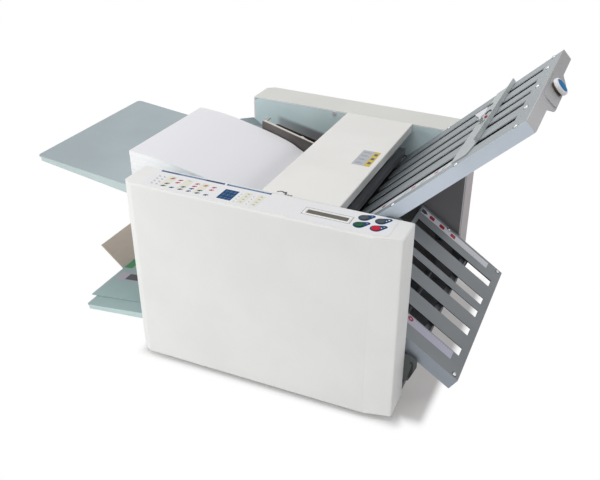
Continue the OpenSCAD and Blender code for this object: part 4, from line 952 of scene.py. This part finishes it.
stopTrim = {
    "top": 1.9 * mm, "nutAt": (0.0640, 0.004), "screwAt": (0.0690, 0.019),
    "flag": [(0.020, 0.106), (0.050, 0.101), (0.0545, 0.070), (0.0480, 0.045)],
    "nut": [(5.2, 0), (5.2, 0.6), (3.0, 0.8), (3.0, 2.4), (4.6, 2.8), (5.0, 3.4), (5.0, 6.6), (4.5, 7.2),
            (0.1, 7.3)],  # radius and height in mm, as are the next two
    "washer": [(6.2, 0.02), (6.2, 0.2)],
    "screw": [(3.0, 0), (3.2, 1.6), (2.2, 2.6), (0.1, 2.7)]}


def stopDetails():  # pointer and thumb nut on the upper table's paper stop
    white, steel, dark, red = range(4)
    s = Shape("stopDetails", stripWhite, polished, printed("stop marks", (38, 38, 42)), redMark)
    top = stopTrim["top"]
    nutPlace = upperPlace @ Matrix.Translation((*stopTrim["nutAt"], top))
    screwPlace = upperPlace @ Matrix.Translation((*stopTrim["screwAt"], top))
    s.prism(stopTrim["flag"], top + 0.02 * mm, top + 0.4 * mm, white, upperPlace)
    s.box((0.0530, 0.098, top), (0.0600, 0.107, top + 0.8 * mm), dark, upperPlace)
    s.lathe(inMm(stopTrim["nut"]), steel, nutPlace, 24)
    s.lathe(inMm(stopTrim["washer"]), dark, nutPlace, 24)
    s.lathe(inMm(stopTrim["screw"]), red, screwPlace, 20)
    wire = []
    for i in range(9):  # bent wire clip
        a = radians(200 - i * 27)
        wire.append((0.0665 + 5.2 * mm * cos(a), 0.046 + 7.5 * mm * sin(a)))
    for (x0, y0), (x1, y1) in zip(wire, wire[1:]):
        d = Vector((x1 - x0, y1 - y0, 0)).normalized() * 0.7 * mm
        s.prism([(x0 - d.y, y0 + d.x), (x0 + d.y, y0 - d.x), (x1 + d.y, y1 - d.x), (x1 - d.y, y1 + d.x)],
                top, top + 1.6 * mm, dark, upperPlace)
    s.done("upper_stop")


stopDetails()

label = {"thick": 0.1 * mm, "ink": 0.02 * mm}
yellowInk = printed("yellow label", (202, 178, 62))
labelGrey = printed("label grey", (176, 180, 186))


def lidLabel():
    s = Shape("lidLabel", labelGrey, yellowInk, tickInk)
    low, top = bodyTop, bodyTop + label["thick"]
    ink = top + label["ink"]
    s.box((0.074, -0.034, low), (0.096, 0.029, top), 0)
    s.box((0.096, -0.034, low), (0.107, 0.029, top), 1)
    for i in range(4):  # faint lines
        y = -0.026 + i * 0.015
        s.box((0.078, y, top), (0.092, y + 0.8 * mm, ink), 2)
        s.box((0.078, y + 3 * mm, top), (0.088, y + 3.7 * mm, ink), 2)
    for i in range(3):
        y = -0.024 + i * 0.018
        s.box((0.0985, y, top), (0.1045, y + 9 * mm, ink), 2)
    s.done("lid")


lidLabel()

greenInk = printed("green label", (62, 138, 84))
patchGrey = printed("grey patch", (78, 80, 86), 0.6)
labelLilac = printed("pale label", (182, 178, 188), 0.6)


def stackerLabels():
    s = Shape("stackerLabels", greenInk, labelLilac, patchGrey)
    low = 1.94 * mm  # just above the stacker's painted base
    top = low + label["thick"]
    s.box((-0.011, -0.047, low), (0.008, 0.104, top), 0, trayPlace)
    s.box((-0.003, -0.093, low), (0.070, -0.064, top), 1, trayPlace)
    s.box((0.020, -0.089, top), (0.062, -0.068, top + 0.03 * mm), 2, trayPlace)
    s.done("stacker")


stackerLabels()


# stage, light and camera

print("stage")
stage = {"halfSize": 8.0, "glow": 0.2, "world": 0.5,
         "body": {"middle": (0.005, 0.0), "half": (0.238, 0.243), "glowTo": 0.05, "fade": (0.0, 0.024)},
         "frontGlow": (-0.2, -0.13),  # Y over which the deepest shadow, beside the front, gives way
         # shade: a painted shadow on the floor under the lower table, mixed with the real shading
         "shade": {"left": (0.20, 0.238), "right": (0.279, 0.299), "front": (-0.249, -0.217),
                   "back": (0.2, 0.26), "flat": 0.65, "tone": (170, 167, 166)},
         "side": {"from": (-1.05, -1.15, 0.62), "to": (-0.05, -0.2, 0.2), "size": 0.8, "power": 5.8},
         "over": {"from": (-0.25, -0.35, 2.5), "to": (0, 0, 0.2), "size": 1.6, "power": 17.5}}


def floorPiece():
    bm = bmesh.new()
    bmesh.ops.create_grid(bm, x_segments=8, y_segments=8, size=stage["halfSize"])
    b = Board("studio floor")
    b.finish(Base_Color=linear((251, 251, 251)), Roughness=0.9)
    body, shade = stage["body"], stage["shade"]
    x, y = b.axis("X"), b.axis("Y")
    dx, dy = [(abs(v - body["middle"][i]) - body["half"][i]).most(0.0) for i, v in enumerate((x, y))]
    away = (dx * dx + dy * dy).power(0.5)  # distance from the covers' outline
    seen = b.ray("Camera")
    plain = Wire(b, b.shader.outputs[0])
    lit = b.node("ShaderNodeAddShader", {}, {0: plain, 1: b.glow((1, 1, 1, 1), stage["glow"])})
    openFloor = b.ramp(away, 0.0, body["glowTo"]).most(b.ramp(y, *stage["frontGlow"]))
    near = b.mixShader(seen * openFloor, plain, lit)
    # painted shadow under the lower table, mixed with the real shading there: an even tone with soft sides
    shaded = b.ramp(x, *shade["left"]) * b.ramp(x, *shade["right"], 1.0, 0.0)
    shaded = shaded * b.ramp(y, *shade["front"]) * b.ramp(y, *shade["back"], 1.0, 0.0)
    even = b.mixShader(seen * shaded * shade["flat"], near, b.glow(linear(shade["tone"]), 1.0))
    clear = b.ramp(away, *body["fade"]).least(1 - shaded)
    both = b.mixShader(seen * clear, even, b.glow((1, 1, 1, 1), 1.0))
    b.link(both, b.tree.nodes["Material Output"].inputs[0])
    obj = built("studioFloor", bm, [b.owner])


floorPiece()


def worldLight():  # plain white where the camera or a reflection looks, dimmer as a light
    world = bpy.data.worlds.new("studio")
    bpy.context.scene.world = world
    b = Board("studio", world)
    level = b.node("ShaderNodeMapRange", {}, {
        "Value": b.ray("Camera").most(b.ray("Glossy")), "To Min": stage["world"], "To Max": 1.0})
    b.finish(Color=(1, 1, 1, 1), Strength=level)


worldLight()


def softBox(name, spot, target, size, power):
    light = bpy.data.lights.new(name, "AREA")
    light.shape = "SQUARE"
    light.size = size
    light.energy = power
    obj = bpy.data.objects.new(name, light)
    obj.location = spot
    obj.rotation_euler = (Vector(target) - Vector(spot)).to_track_quat("-Z", "Y").to_euler()
    bpy.context.scene.collection.objects.link(obj)


for lampName in ("side", "over"):
    lamp = stage[lampName]
    softBox(lampName, lamp["from"], lamp["to"], lamp["size"], lamp["power"])

view = {
    "yaw": 19.62, "pitch": 29.6, "roll": 2.42, "spot": (0.49935, -1.16849, 0.91727),
    "frame": (600, 480), "centre": (360, 225), "focal": 773.95,  # pixels
    "sensor": 36, "clip": (0.05, 60)}


def camera():
    yaw, pitch, roll = [radians(view[k]) for k in ("yaw", "pitch", "roll")]
    forward = Vector((-sin(yaw) * cos(pitch), cos(yaw) * cos(pitch), -sin(pitch)))
    right = Vector((cos(yaw), sin(yaw), 0))
    up = right.cross(forward)
    side = cos(roll) * right + sin(roll) * up
    top = -sin(roll) * right + cos(roll) * up
    wide, high = view["frame"]
    x, y = view["centre"]
    data = bpy.data.cameras.new("camera")
    data.sensor_width = view["sensor"]
    data.lens = view["focal"] / wide * view["sensor"]
    data.shift_x = (wide / 2 - x) / wide
    data.shift_y = (y - high / 2) / wide
    data.clip_start, data.clip_end = view["clip"]
    obj = bpy.data.objects.new("camera", data)
    turn = Matrix((side, top, -forward)).transposed().to_4x4()
    obj.matrix_world = Matrix.Translation(view["spot"]) @ turn
    bpy.context.scene.collection.objects.link(obj)
    bpy.context.scene.camera = obj


camera()
bpy.context.scene.view_settings.view_transform = "Standard"

print("done")
